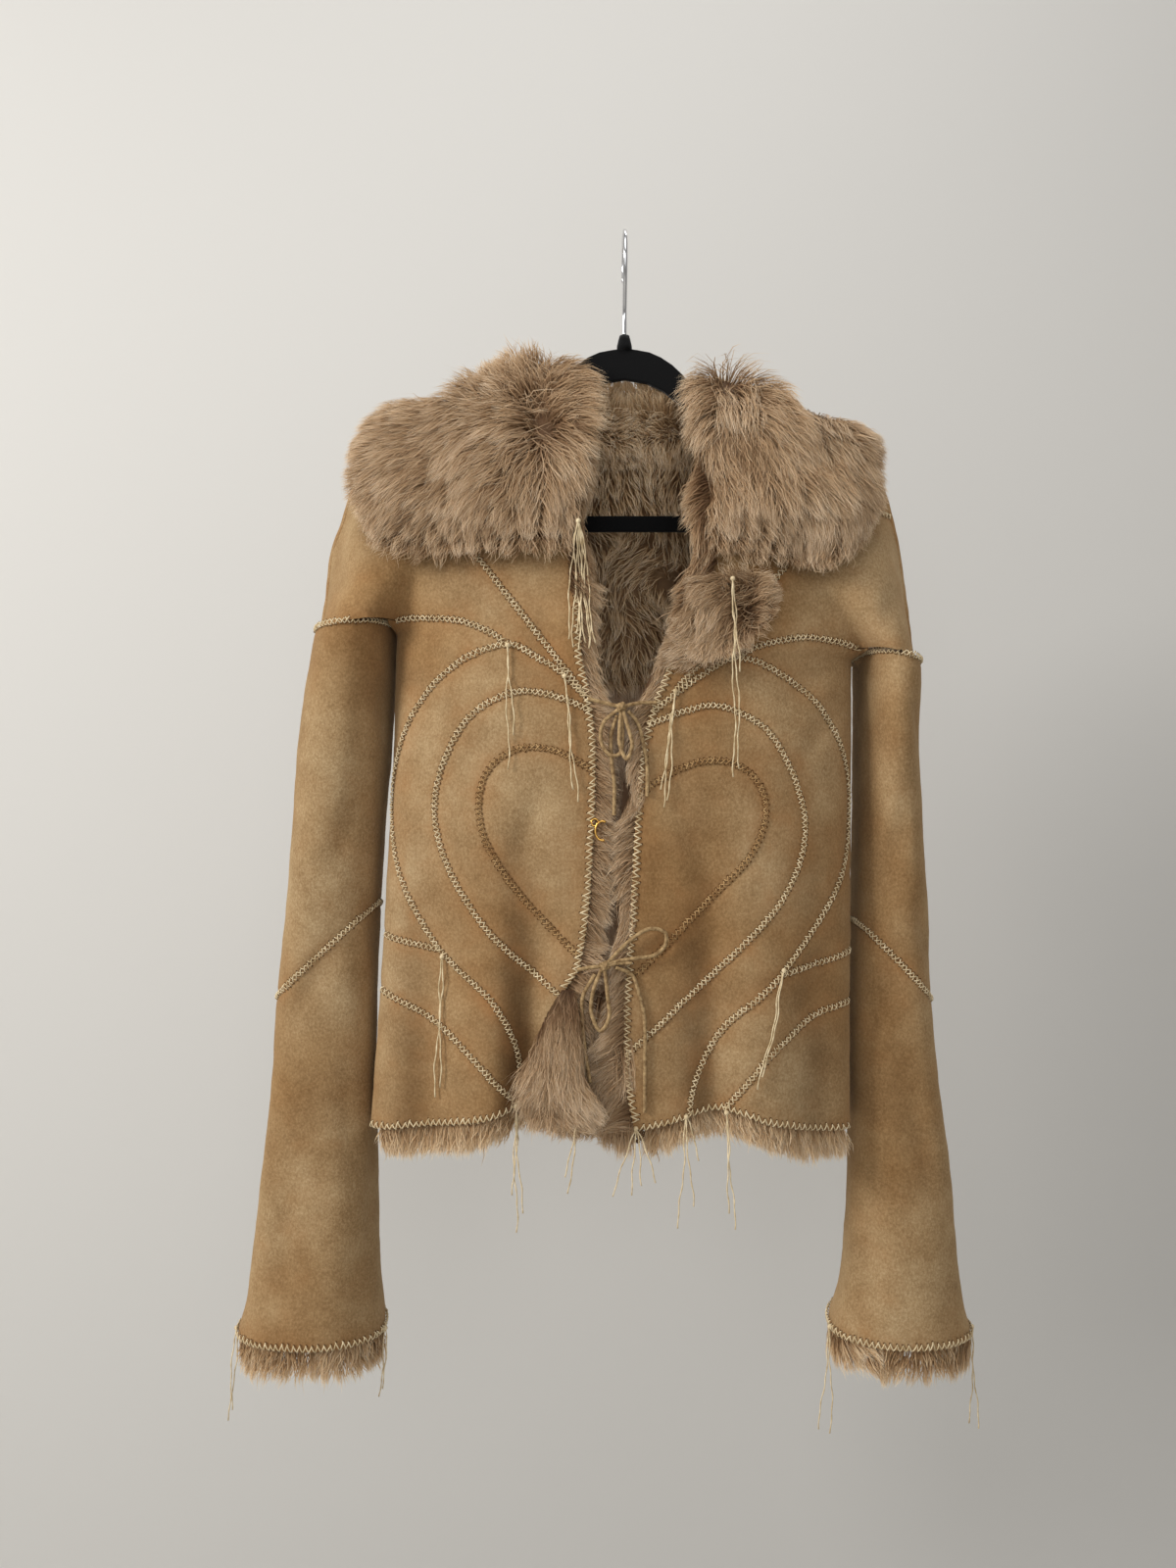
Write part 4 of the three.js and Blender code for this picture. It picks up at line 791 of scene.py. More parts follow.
def painted_fold_shade(surface, points):
    """Painted shade: how deep a place lies between the long folds, darker on their side away from the window."""
    if surface not in (FRONT_SHELL, BACK_SHELL):
        return 0 * points[:, 0]
    face = FRONT if surface is FRONT_SHELL else BACK
    x, z = points[:, 0], points[:, 2]
    depth = folds_at(face, x, z)
    slope = folds_at(face, x + 6, z) - folds_at(face, x - 6, z)
    return np.clip(-depth / 16 - slope / 14, 0, 1)


def leather(node, surface, flip, patch, fields, tube=False):
    """One cut piece of shearling: where all fields are positive, with its edges sunk into the seams."""
    for field in fields:
        patch = clip(patch, field)
    places, triangles = patch
    a, b = places[:, 0], places[:, 1]
    near = np.min([field(a, b) for field in fields], axis=0)
    outer = surface(a, b)
    normal = normal_at(surface, a, b, flip)
    sunk = 0.9 * np.exp(-(np.maximum(near, 0) / 2.6) ** 2)
    lift = 0.5 * waves(outer, 11, 34) + 0.25 * waves(outer, 12, 15)
    top = outer + normal * (lift * smooth(0, 12, near) - sunk)[:, None]
    under = outer - normal * (LEATHER + 0.4)
    if flip < 0:
        triangles = triangles[:, ::-1]
    points, faces, kind, source = two_layers(triangles, top, under)
    seam = np.exp(-(np.maximum(near, 0) / 9) ** 1.3)
    # Painted shade: the dips of the small waves are added to the seam mix so that they come out darker.
    painted_dip_shade = np.clip(-lift * 0.8, 0, 0.5)
    made = build(f"{node}_cloth", points, faces, [SUEDE, WOOL], {
        "seam": np.clip(0.7 * seam + painted_dip_shade, 0, 1)[source], "fold_painted_shade": painted_fold_shade(surface, outer)[source]}, kind)
    finish_piece(made, [node])
    size = area_of(top, triangles) * 1e-6
    low, high = top.min(0), top.max(0)
    tall = (high[2] - low[2]) * MM
    if tube:
        ring = surface(np.linspace(0, 1, 80), np.full(80, (low[2] + high[2]) / 2))
        wide = length_of(ring) * MM
    else:
        row = np.linspace(low[0], high[0], 60)
        middle = np.full(60, (low[2] + high[2]) / 2)
        face = front_y if surface is FRONT_SHELL else back_y
        wide = max((high[0] - low[0]) * MM, length_of(xyz(row, face(row, middle), middle)) * MM * 0.98)
    wide = min(max(wide, size / tall * 1.01), size / tall / 0.33)


FRONT_SHELL, BACK_SHELL = shell(FRONT), shell(BACK)


def in_plan(test):
    return lambda p, z: test(shell_x(p, z), z) - HALF_SEAM


half = 1 - (1 - np.linspace(0, 1, 40)) ** 1.35
heads = 1 + (0.5 - 0.5 * np.cos(np.pi * np.linspace(0, 1, 20)))[1:]
for s, name in SIDES.items():
    columns = np.sort(s * np.concatenate([np.linspace(-0.2326, 0, 12)[:-1], half, heads]))
    body_columns = columns[np.abs(columns) <= 1]
    edge = lambda p, z: s * (shell_x(p, z) - FRONT_EDGE[s](z)) - HALF_SEAM
    upper = lambda x, z: z - UPPER_SEAM[s](x)
    shoulder = lambda x, z: z - SHOULDER_SEAM[s](x)
    collar = lambda x, z: collar_field(s, x, z)
    inner, middle, outer = loops[s]["inner"], loops[s]["middle"], loops[s]["outer"]
    high = grid(columns, np.arange(-122, -412, -5.0))
    top = [edge, in_plan(lambda x, z: np.minimum(neck_field(x, z), -outer(x, z))), in_plan(upper)]
    leather(f"shoulder_{name}", FRONT_SHELL, 1, high, top + [in_plan(shoulder)])
    under_shoulder = in_plan(lambda x, z: -shoulder(x, z))
    leather(f"yoke_{name}", FRONT_SHELL, 1, high, top + [under_shoulder, in_plan(collar)])
    leather(f"neck_panel_{name}", FRONT_SHELL, 1, high, top + [under_shoulder, in_plan(lambda x, z: -collar(x, z))])
    low = grid(body_columns, np.arange(-300, -724, -5.0))
    base = [edge, in_plan(lambda x, z: z - HEM(x))]
    leather(f"ring_outer_{name}", FRONT_SHELL, 1, low,
            base + [in_plan(outer), in_plan(lambda x, z: -middle(x, z))])
    leather(f"ring_middle_{name}", FRONT_SHELL, 1, low,
            base + [in_plan(outer), in_plan(middle), in_plan(lambda x, z: -inner(x, z))])
    leather(f"ring_centre_{name}", FRONT_SHELL, 1, low, base + [in_plan(middle), in_plan(inner)])
    flank = base + [in_plan(lambda x, z: -outer(x, z)), in_plan(lambda x, z: -upper(x, z) - 1.6 * HALF_SEAM)]
    over_lower = lambda x, z: z - LOWER_SEAM[s](x)
    over_lowest = lambda x, z: z - LOWEST_SEAM[s](x)
    leather(f"side_panel_{name}", FRONT_SHELL, 1, low, flank + [in_plan(over_lower)])
    below = flank + [in_plan(lambda x, z: -over_lower(x, z))]
    leather(f"lower_panel_{name}", FRONT_SHELL, 1, low, below + [in_plan(over_lowest)])
    leather(f"lowest_panel_{name}", FRONT_SHELL, 1, low, below + [in_plan(lambda x, z: -over_lowest(x, z))])

back_side = 1 - (1 - np.linspace(0, 1, 30)) ** 1.35
back_half = np.concatenate([-back_side[::-1], back_side[1:]])
back_all = np.concatenate([-heads[::-1], back_half, heads])
leather("back_yoke", BACK_SHELL, -1, grid(back_all, np.arange(-122, -346, -6)),
        [in_plan(lambda x, z: z - BACK_YOKE(x)), in_plan(neck_field)])
leather("back_body", BACK_SHELL, -1, grid(back_half, np.arange(-290, -714, -7)),
        [in_plan(lambda x, z: BACK_YOKE(x) - z - 3 * HALF_SEAM), in_plan(lambda x, z: z - BACK_HEM(x))])

TUBES = {s: sleeve(s) for s in (LEFT, RIGHT)}
for s in (LEFT, RIGHT):
    tube = TUBES[s]
    turns = np.linspace(0.0008, 0.9992, 55)

    def on_sleeve(test):
        def field(a, z):
            p = tube(a, z)
            return test(p[:, 0], z, p[:, 1]) - HALF_SEAM
        return field

    def head_seam(x, z, y):
        seam = np.where(y < -2, UPPER_SEAM[s](x), BACK_YOKE(x) - 5 * HALF_SEAM)
        return seam - 3.6 * HALF_SEAM - z

    patch = grid(turns, np.arange(-304, -900, -6.2))
    flip = -1 if s == LEFT else 1
    leather(f"upper_sleeve_{SIDES[s]}", tube, flip, patch,
            [on_sleeve(head_seam), on_sleeve(lambda x, z, y: z - ELBOW[s](x) - HALF_SEAM)], tube=True)
    leather(f"lower_sleeve_{SIDES[s]}", tube, flip, patch,
            [on_sleeve(lambda x, z, y: ELBOW[s](x) - z), on_sleeve(lambda x, z, y: z - CUFF_Z[s])],
            tube=True)


# The overarm seams: a narrow turned edge over the line where front and back meet.
for s in (LEFT, RIGHT):
    z = np.linspace(RIDGE[s][-1][1] - 1, RIDGE[s][2][1], 150)
    x = outline[s](z)
    front, back = -depth_at(FRONT, x, z) - HALF_SEAM, depth_at(BACK, x, z) + 2 * HALF_SEAM
    out = unit(np.stack([np.gradient(z), -np.gradient(x)], 1)) * -1
    out = out * np.sign(out[:, :1] * s)
    across = np.linspace(-0.32, 1.32, 9)
    rise = 0.5 + 1.7 * np.sqrt(np.maximum(0, 1 - (2 * across - 1) ** 2 / 2.7)) - 0.9 * (np.abs(across - 0.5) > 0.75)
    wide = np.maximum(back - front, 3.2)[:, None]
    middle_y = ((front + back) / 2)[:, None]
    reach = rise[None, :] + 0.25 * waves(xyz(x, 0, z), 21, 18)[:, None]
    top = xyz(x[:, None] + out[:, :1] * reach, middle_y + wide * (across - 0.5), z[:, None] + out[:, 1:] * reach)
    under = top - xyz(out[:, 0], 0, out[:, 1])[:, None] * 1.2
    _, triangles = grid(np.arange(9), np.arange(150))
    if s == RIGHT:
        triangles = triangles[:, ::-1]
    points, faces, kind, source = two_layers(triangles, top.reshape(-1, 3), under.reshape(-1, 3))
    finish_piece(build(f"overarm_seam_{SIDES[s]}", points, faces, [SUEDE],
                       {"seam": np.full(len(points), 0.5), "fold_painted_shade": np.zeros(len(points))}))


# ---------------------------------------------------------------- fur
LEVELS = np.array([0, 0.36, 0.72, 1.0])
TAPER = np.array([1.0, 0.8, 0.5])
# Gives each cell of the grid that gathers the clumps a number of its own.
CELL_KEY = np.array([1_000_003, 7_919, 104_729])


def fur(name, nodes, roots, normals, flows, lengths, rise, width=0.55, curl=2.2, sag=0.12, clump=9.0,
        pull=0.74, pelt=None, gain=0.0, mat=FUR):
    """Wool as tapered ribbons that lean along flows, gather in clumps and sag a little at the tips."""
    count = len(roots)
    flows = unit(flows - (flows * normals).sum(1, keepdims=True) * normals * 0.8)
    side = unit(np.cross(flows, normals))
    t = LEVELS[None, :, None]
    up = (rise * rng.uniform(0.65, 1.3, count))[:, None, None] * (1 - (1 - t) ** 2)
    phase = rng.uniform(0, 6.283, (count, 1, 1))
    wave = curl * rng.uniform(0.4, 1.3, (count, 1, 1)) * np.sin(t * 5.2 + phase) * t
    path = (roots[:, None] + normals[:, None] * up + flows[:, None] * lengths[:, None, None] * t ** 1.25
            + side[:, None] * wave)
    path[:, :, 2] -= sag * lengths[:, None] * LEVELS ** 2
    cell = np.floor((roots + rng.normal(0, clump * 0.25, roots.shape)) / clump).astype(np.int64)
    _, group = np.unique(cell @ CELL_KEY, return_inverse=True)
    group = group.ravel()
    total = np.bincount(group)
    mean = np.stack([np.stack([np.bincount(group, path[:, k, d]) / total for d in range(3)], 1)
                     for k in range(len(LEVELS))], 1)
    hold = pull * rng.uniform(0.55, 1.1, (count, 1, 1)) * t ** 1.2
    path = path * (1 - hold) + mean[group] * hold
    along = unit(np.gradient(path, axis=1))
    twist = rng.uniform(-0.9, 0.9, (count, 1, 1))
    face = unit(normals[:, None] * np.cos(twist) + side[:, None] * np.sin(twist))
    across = unit(np.cross(along, face))
    size = width * rng.uniform(0.7, 1.35, (count, 1, 1)) / 2
    a = path[:, :3] - across[:, :3] * size * TAPER[:, None]
    b = path[:, :3] + across[:, :3] * size * TAPER[:, None]
    points = np.concatenate([np.stack([a, b], 2).reshape(count, 6, 3), path[:, 3:4]], 1)
    one = np.array([[0, 1, 3], [0, 3, 2], [2, 3, 5], [2, 5, 4], [4, 5, 6]])
    triangles = (np.arange(count)[:, None, None] * 7 + one).reshape(-1, 3)
    tone = np.broadcast_to(np.array([0, 0, 0.36, 0.36, 0.72, 0.72, 1.0]), (count, 7)).ravel()
    shade = np.random.default_rng(3).uniform(0, 1, len(total))[group] * 0.5 + rng.uniform(0, 0.5, count)
    # gain lightens the colour of the wool and its pelt; on the lining, inside of the neck, hem and cuffs it is painted
    # light.
    shade = np.repeat(np.clip(shade + gain + 0.12 * waves(roots, 5, 60), 0, 1), 7)
    points = points.reshape(-1, 3)
    if pelt is not None:
        base, faces = pelt
        triangles = np.concatenate([triangles, faces + len(points)])
        tone = np.r_[tone, np.full(len(base), 0.12)]
        shade = np.r_[shade, np.full(len(base), 0.4 + gain)]
        points = np.concatenate([points, base])
    made = build(f"{name}_wool", points, triangles, [mat], {"tone": tone, "vary": shade})
    return finish_piece(made, nodes)


def layers_pelt(layer, columns, rows, share, turned=False):
    """A closed thin pelt between a slab's inner layer and a share of the way to its outer one."""
    places, triangles = grid(columns, rows)
    outer, inner = layer(places[:, 0], places[:, 1])
    if turned:
        triangles = triangles[:, ::-1]
    points, faces, _, _ = two_layers(triangles, mix(inner, outer, share), inner)
    return points, faces


def scatter(layer, count, a_range, b_range, depth=0.3, b_power=1.0):
    a = rng.uniform(*a_range, count)
    b = mix(b_range[0], b_range[1], rng.uniform(0, 1, count) ** b_power)
    outer, inner = layer(a, b)
    return a, b, mix(inner, outer, depth), unit(outer - inner), np.linalg.norm(outer - inner, axis=1)


def swirl(points, seed, strength):
    return strength * np.stack([waves(points, seed + k, 55) for k in range(3)], 1) * 2


# x, the lower edge's z and the wool's thickness along each collar leaf, then along the back fall.
LEAF = {
    LEFT: [table([[-203, -236, 6], [-192, -256, 13], [-172, -268, 17], [-120, -271, 21], [-80, -272, 25],
                  [-50, -273, 22], [-37, -266, 12]], k) for k in (1, 2)],
    RIGHT: [table([[56, -262, 12], [70, -274, 22], [100, -276, 25], [146, -280, 21], [168, -268, 17],
                   [182, -246, 12], [190, -222, 6]], k) for k in (1, 2)],
}
NECK_TOP = -142
COLLAR_BACK = [table([[-202, -222, 6], [-180, -242, 16], [-100, -252, 22], [0, -255, 25], [100, -252, 22],
                      [172, -244, 16], [189, -220, 6]], k) for k in (1, 2)]


def leaf_layers(side, face, x, t, low, thick_fur):
    high = np.where(np.abs(x) < 62, mix(-120, -126.5, np.maximum(0, np.abs(x) - 30) / 32), ridge_height[side](x))
    near = np.abs(x) < 64
    drop = mix(high - low, np.where(near, 3, 0.4), t ** 0.75)
    z = high - drop

    def depth(d):
        cloth = depth_at(face, x, high - d) + (0 if face == FRONT else HALF_SEAM)
        return np.where(near, np.maximum(3.4, TENT(d)), np.maximum(0.2, cloth))
    y = depth(drop)
    rise = depth(drop + 1) - depth(np.maximum(0.2, drop - 1))
    size = np.hypot(2, rise)
    ny, nz = 2 / size, rise / size
    thick = 1.6 + thick_fur * np.minimum(1, lobe(1 - np.minimum(1, t * 2.2), 2.4))
    lift = mix(2.6, 3.8, smooth(0, 0.5, t)) + (0.6 if face == BACK else 0)
    point = lambda reach: xyz(x, face * (y + ny * reach + HALF_SEAM), z + nz * reach)
    return point(thick + lift), point(lift)


CROWN = {LEFT: (-78, -150), RIGHT: (79, -130)}
LEAF_SPAN = {LEFT: (-203, -37), RIGHT: (56, 190)}
for s in (LEFT, RIGHT):
    layer = lambda x, t: leaf_layers(s, FRONT, x, t, LEAF[s][0](x), LEAF[s][1](x))
    start, end = LEAF_SPAN[s]
    n = int(20500 * DENSITY)
    x, t, roots, normals, thick = scatter(layer, n, (start + 7, end - 7), (0.03, 1.0), 0.3, 0.9)
    away = xyz(x - CROWN[s][0], 0, roots[:, 2] - CROWN[s][1])
    crown = np.exp(-(away[:, :1] ** 2 + away[:, 2:] ** 2) / 26 ** 2)
    flow = unit(away) * (1 - 0.6 * crown) + np.array([0, 0, -0.32]) * (1 - crown) + np.array([0, 0, 0.7]) * crown
    flow = flow + swirl(roots, 41 if s == LEFT else 48, 0.62 if s == LEFT else 0.7)
    inner_edge = smooth(26, 0, end - x if s == LEFT else x - start)[:, None]
    flow = mix(flow, np.array([-0.55 * s, 0, -0.8]), 0.8 * inner_edge)
    outer_edge = (x - start if s == LEFT else end - x)
    lengths = rng.uniform(22, 44, n) * mix(0.55, 1, smooth(0, 30, outer_edge)) * mix(0.42, 1, smooth(0, 0.4, t))
    pelt = layers_pelt(layer, np.linspace(start + 6, end - 6, 40), np.linspace(0.06, 1, 24), 0.5, True)
    fur(f"collar_{SIDES[s]}", [f"collar_{SIDES[s]}"], roots, normals, flow, lengths, thick * 0.72, pelt=pelt,
        width=0.95, curl=6.5, clump=13, sag=0.22, gain=0.06)


def back_layers(x, t):
    low, thick_fur = COLLAR_BACK[0](x), COLLAR_BACK[1](x)
    left = leaf_layers(LEFT, BACK, x, t, low, thick_fur)
    right = leaf_layers(RIGHT, BACK, x, t, low, thick_fur)
    z = mix(low, -121, t ** 0.8)
    base = depth_at(BACK, x, np.minimum(z, NECK_TOP)) + 2 * HALF_SEAM + 2.2
    thick = 2 + thick_fur * np.minimum(1, lobe(1 - np.minimum(1, t * 2.2), 2.4))
    standing = xyz(x, base + thick, z + 11 * t * t), xyz(x, base, z)
    stand = smooth(74, 52, np.abs(x))[:, None]
    return [mix(np.where((x < 0)[:, None], left[k], right[k]), standing[k], stand) for k in (0, 1)]


n = int(15500 * DENSITY)
x, t, roots, normals, thick = scatter(back_layers, n, (-190, 177), (0.03, 1.0), 0.3, 0.9)
flow = xyz(0.006 * x, 0, -1) + swirl(roots, 61, 0.55)
top = smooth(0.86, 1.0, t)[:, None] * smooth(74, 58, np.abs(x))[:, None]
flow = flow * (1 - top) + np.array([0, -0.35, 1.0]) * top
pelt = layers_pelt(back_layers, np.linspace(-193, 180, 70), np.linspace(0.05, 1, 20), 0.5)
fur("collar_back", ["collar_back"], roots, normals, flow,
    rng.uniform(20, 34, n) * mix(0.5, 1, smooth(0, 0.3, t)) * mix(0.5, 1, smooth(0, 30, np.minimum(x + 193, 180 - x))),
    thick * 0.75, pelt=pelt, width=1.1, curl=5.5, clump=14, pull=0.75, sag=0.15)


def lining_layers(x, t):
    z = mix(-352, -150 - 5 * np.abs(x) / 30, t)
    outer = depth_at(BACK, x, z) + 2 * HALF_SEAM - LEATHER - 2.4
    thick = np.minimum(13 * lobe(2 * t - 1, 4) + 2, np.maximum(1.6, outer - 5))
    return xyz(x, outer - thick, z), xyz(x, outer, z)


n = int(6000 * DENSITY)
x, t, roots, normals, thick = scatter(lining_layers, n, (-103, 106), (0.02, 1.0), 0.2)
flow = np.array([0, 0, -1]) + swirl(roots, 71, 0.7)
pelt = layers_pelt(lining_layers, np.linspace(-105, 108, 30), np.linspace(0, 1, 24), 0.4, True)
# Painted light: the lighter fur and the gain brighten the shaded lining.
fur("lining_back", ["lining_back"], roots, normals, flow, rng.uniform(14, 26, n), thick * 0.8, pelt=pelt,
    width=1.05, curl=4.6, clump=12, gain=0.3, mat=FUR_PAINTED_LIGHT)

# Wool on the inside of the standing back neck, above the lining; its lighter fur and gain are painted light for its
# shade.
n = int(6500 * DENSITY)
x, z = rng.uniform(-74, 84, n), -rng.uniform(124, 172, n)
roots = xyz(x, depth_at(BACK, x, np.minimum(z, NECK_TOP)) - LEATHER - 1.5, z)
normals = np.broadcast_to(np.array([0, -0.94, 0.34]), roots.shape)
flow = xyz(0.1 * rng.normal(size=n), -0.25, mix(-0.9, 1.0, smooth(-158, -136, z)))
fur("neck_inside", [], roots, normals, flow + swirl(roots, 77, 0.6), rng.uniform(12, 21, n),
    rng.uniform(6, 14, n), width=0.9, curl=4.8, clump=12, gain=0.4, mat=FUR_PAINTED_LIGHT)

# Wool that stands over both edges of the neck opening, from the collar down.
for s, (start, end) in ((LEFT, (-146, -292)), (RIGHT, (-140, -300))):
    n = int(3300 * DENSITY)
    z = rng.uniform(end, start, n)
    x = FRONT_EDGE[s](z) + s * rng.uniform(-1, 9 if s == LEFT else 14, n)
    roots = xyz(x, front_y(x, z) + rng.uniform(-4, 5, n), z)
    normals = np.broadcast_to(unit(np.array([-s * 0.5, -0.85, 0])), roots.shape)
    flow = np.array([-s * 0.55, 0, -0.75]) + swirl(roots, 171 + s, 0.8)
    fur(f"neck_edge_{SIDES[s]}", [], roots, normals, flow, rng.uniform(13, 25, n), rng.uniform(3, 10, n),
        width=0.85, curl=4.2, clump=11, pull=0.75, sag=0.2)

# z, then the inner and outer edge of the turned-out lapel, and further down of the turned-out corner.
LAPEL = [table([[-284, 50, 99], [-296, 45, 104], [-312, 41, 102], [-326, 37, 86], [-336, 34, 66],
                [-345, 33, 44]], k) for k in (1, 2)]


def lapel_layers(s, z):
    x = mix(LAPEL[0](z), LAPEL[1](z), s)
    base = front_y(x, z) - 0.5
    thick = 2 + 12 * lobe(2 * s - 1, 3) * smooth(-347, -335, z)
    return xyz(x, base - thick, z), xyz(x, base, z)


n = int(6500 * DENSITY)
u, z, roots, normals, thick = scatter(lapel_layers, n, (0.02, 0.98), (-284, -343), 0.25)
outward = smooth(0.6, 1.0, u)
flow = xyz(mix(-0.8, 0.75, outward), 0, mix(-0.65, -0.45, outward) + 0.5 * smooth(-296, -284, z))
flow = flow + swirl(roots, 81, 0.7)
lengths = rng.uniform(14, 30, n) * mix(0.5, 1, smooth(0, 0.35, u)) * mix(1, 0.6, outward)
pelt = layers_pelt(lapel_layers, np.linspace(0.14, 0.84, 14), np.linspace(-293, -338, 16), 0.2)
fur("lapel_right", ["lapel_right"], roots, normals, flow, lengths, thick * 0.8, pelt=pelt, width=0.85, clump=11,
    curl=4.8, sag=0.2, gain=0.08)

CORNER = [table([[-585, -47, -40], [-600, -57, -37.5], [-612, -63, -37], [-630, -67.5, -36.5], [-650, -67, -36.5],
                 [-664, -63, -36.5], [-682, -56, -38], [-694, -50, -40]], k) for k in (1, 2)]


def corner_layers(s, z):
    x = mix(CORNER[0](z), CORNER[1](z), s)
    base = np.minimum(front_y(x, z), front_y(x - 6, z)) - 1.7
    thick = 2 + 11 * lobe(2 * s - 1, 3) * smooth(-697, -660, z) * smooth(-584, -604, z)
    return xyz(x, base - thick, z), xyz(x, base, z)


n = int(7000 * DENSITY)
u, z, roots, normals, thick = scatter(corner_layers, n, (0.02, 0.98), (-586, -684), 0.25)
flow = xyz(mix(-0.95, 0.3, u) * smooth(-700, -640, z) + 0.2 * rng.normal(size=n), 0, -1)
flow = flow + swirl(roots, 91, 0.75)
lengths = rng.uniform(15, 38, n) * mix(0.5, 1, smooth(-694, -655, z))
pelt = layers_pelt(corner_layers, np.linspace(0.22, 0.82, 12), np.linspace(-602, -668, 22), 0.2)
fur("corner_left", ["corner_left"], roots, normals, flow, lengths, thick * 0.85, pelt=pelt, width=0.8, clump=11,
    curl=5.5, pull=0.85, sag=0.25, gain=0.12)

# The wool of both front edges meets here.
MEET = -13.3
EDGE_SPAN = {LEFT: (-285, -655), RIGHT: (-300, -702)}
for s in (LEFT, RIGHT):
    def edge_layers(u, z):
        edge = FRONT_EDGE[s](z)
        hidden = edge + s * 9
        free = np.minimum(edge + 13, MEET - 0.4) if s == LEFT else np.maximum(edge - 15, MEET + 0.4)
        x = mix(hidden, free, u)
        front = front_y(hidden, z) + LEATHER + 1.4
        return xyz(x, front, z), xyz(x, front + 8, z)
    n = int(6500 * DENSITY)
    u, z, roots, normals, thick = scatter(edge_layers, n, (0.0, 0.55), EDGE_SPAN[s], 0.55)
    flow = np.array([-s * 0.9, -0.15, -0.75]) + swirl(roots, 101 + s, 0.75)
    low_end = smooth(-575, -610, z)
    lengths = rng.uniform(12, 25, n) * (1 + 0.5 * low_end)
    start, end = EDGE_SPAN[s]
    pelt = layers_pelt(edge_layers, np.linspace(0.15, 0.8, 4), np.linspace(start, end + 8, 60), 0.5, s == LEFT)
    fur(f"edge_fur_{SIDES[s]}", [f"edge_fur_{SIDES[s]}"], roots, normals, flow, lengths,
        rng.uniform(2, 10, n), pelt=pelt, width=0.85, curl=4.4, clump=10, sag=0.25, gain=0.1)


# Wool from inside the right front that fills the gap above the hem, with a point below its corner.
n = int(4300 * DENSITY)
z = rng.uniform(-690, -588, n)
x = rng.uniform(-46, 2, n)
roots = xyz(x, front_y(-2, z) + rng.uniform(5, 16, n), z)
normals = np.broadcast_to(np.array([0, -1.0, 0]), roots.shape)
flow = np.array([-0.25, 0, -1]) + swirl(roots, 181, 0.55)
lengths = rng.uniform(16, 30, n) * mix(0.6, 1, smooth(-694, -650, z)) * mix(0.8, 1.6, smooth(-22, -4, x))
fur("gap_low", [], roots, normals, flow, lengths, rng.uniform(2, 8, n), width=0.9, curl=4.4, clump=10, pull=0.76,
    sag=0.2, gain=0.1)


def hem_fur(name, face, start, end, hem, seat, count, seed):
    """The wool side that shows below a hem, seated on the inside of the leather, in the lighter fur and gain that are
    painted light.
    """
    def band(x, t):
        edge = hem(x)
        z = mix(edge + 9, edge - 15, t)
        depth = depth_at(face, x, np.maximum(z, -716)) - LEATHER - seat
        return xyz(x, face * depth, z), xyz(x, face * (depth - mix(9, 5, t)), z)
    amount = int(count * DENSITY)
    x, t, roots, normals, thick = scatter(band, amount, (start, end), (0.1, 0.75), 0.5)
    roots = roots + normals * (thick * rng.uniform(-0.5, 0.5, amount))[:, None]
    flow = xyz(0.25 * rng.normal(size=amount), -0.1, -1) + swirl(roots, seed, 0.5)
    lengths = rng.uniform(11, 23, amount) + 5 * waves(roots, seed + 5, 40)
    pelt = layers_pelt(band, np.linspace(start, end, 60), np.linspace(0, 0.4, 5), 0.9, face == BACK)
    fur(name, [name], roots, normals, flow, lengths, rng.uniform(-1, 6, amount), pelt=pelt, width=0.85, curl=4.0,
        clump=9, pull=0.76, sag=0.1, gain=0.3, mat=FUR_PAINTED_LIGHT)


hem_fur("hem_fur_left", FRONT, -186, -32, HEM, 2.6, 4800, 121)
hem_fur("hem_fur_right", FRONT, 16, 164, HEM, 2.6, 4800, 131)
hem_fur("hem_fur_back", BACK, -184, 164, BACK_HEM, 4.9, 5200, 141)

for s in (LEFT, RIGHT):
    tube, flip = TUBES[s], (-1 if s == LEFT else 1)

    def cuff_layers(a, t):
        z = mix(CUFF_Z[s] + 12, CUFF_Z[s] - 17, t)
        hold = np.maximum(z, -871)
        out = tube(a, hold)
        normal = normal_at(tube, a, np.maximum(hold, -866), flip)
        normal[:, 2] = 0
        normal = unit(normal)
        outer, inner = out - normal * (LEATHER + 1.0), out - normal * (LEATHER + mix(9, 6, t))[:, None]
        outer[:, 2], inner[:, 2] = z, z
        return outer, inner
    n = int(5200 * DENSITY)
    a, t, roots, normals, thick = scatter(cuff_layers, n, (0.001, 0.999), (0.1, 0.85), 0.5)
    roots = roots + normals * (thick * rng.uniform(-0.5, 0.5, n))[:, None]
    flow = np.array([0, 0, -1]) + normals * 0.12 + swirl(roots, 151 + s, 0.5)
    lengths = rng.uniform(12, 24, n) + 4.0 * waves(roots, 155, 30)
    pelt = layers_pelt(cuff_layers, np.linspace(0.001, 0.999, 50), np.linspace(0, 0.4, 5), 0.9, s == LEFT)
    # Painted light: the lighter fur and the gain brighten the cuff wool.
    fur(f"cuff_fur_{SIDES[s]}", [f"cuff_fur_{SIDES[s]}"], roots, normals, flow, lengths, rng.uniform(-1, 5, n),
        pelt=pelt, width=0.85, curl=4.0, clump=9, pull=0.76, sag=0.05, gain=0.3, mat=FUR_PAINTED_LIGHT)


# ---------------------------------------------------------------- stitches
def resample(line, pitch):
    """Places one pitch apart along a line."""
    run = run_along(line)
    return places_at(np.arange(pitch / 2, run[-1], pitch), run, line)


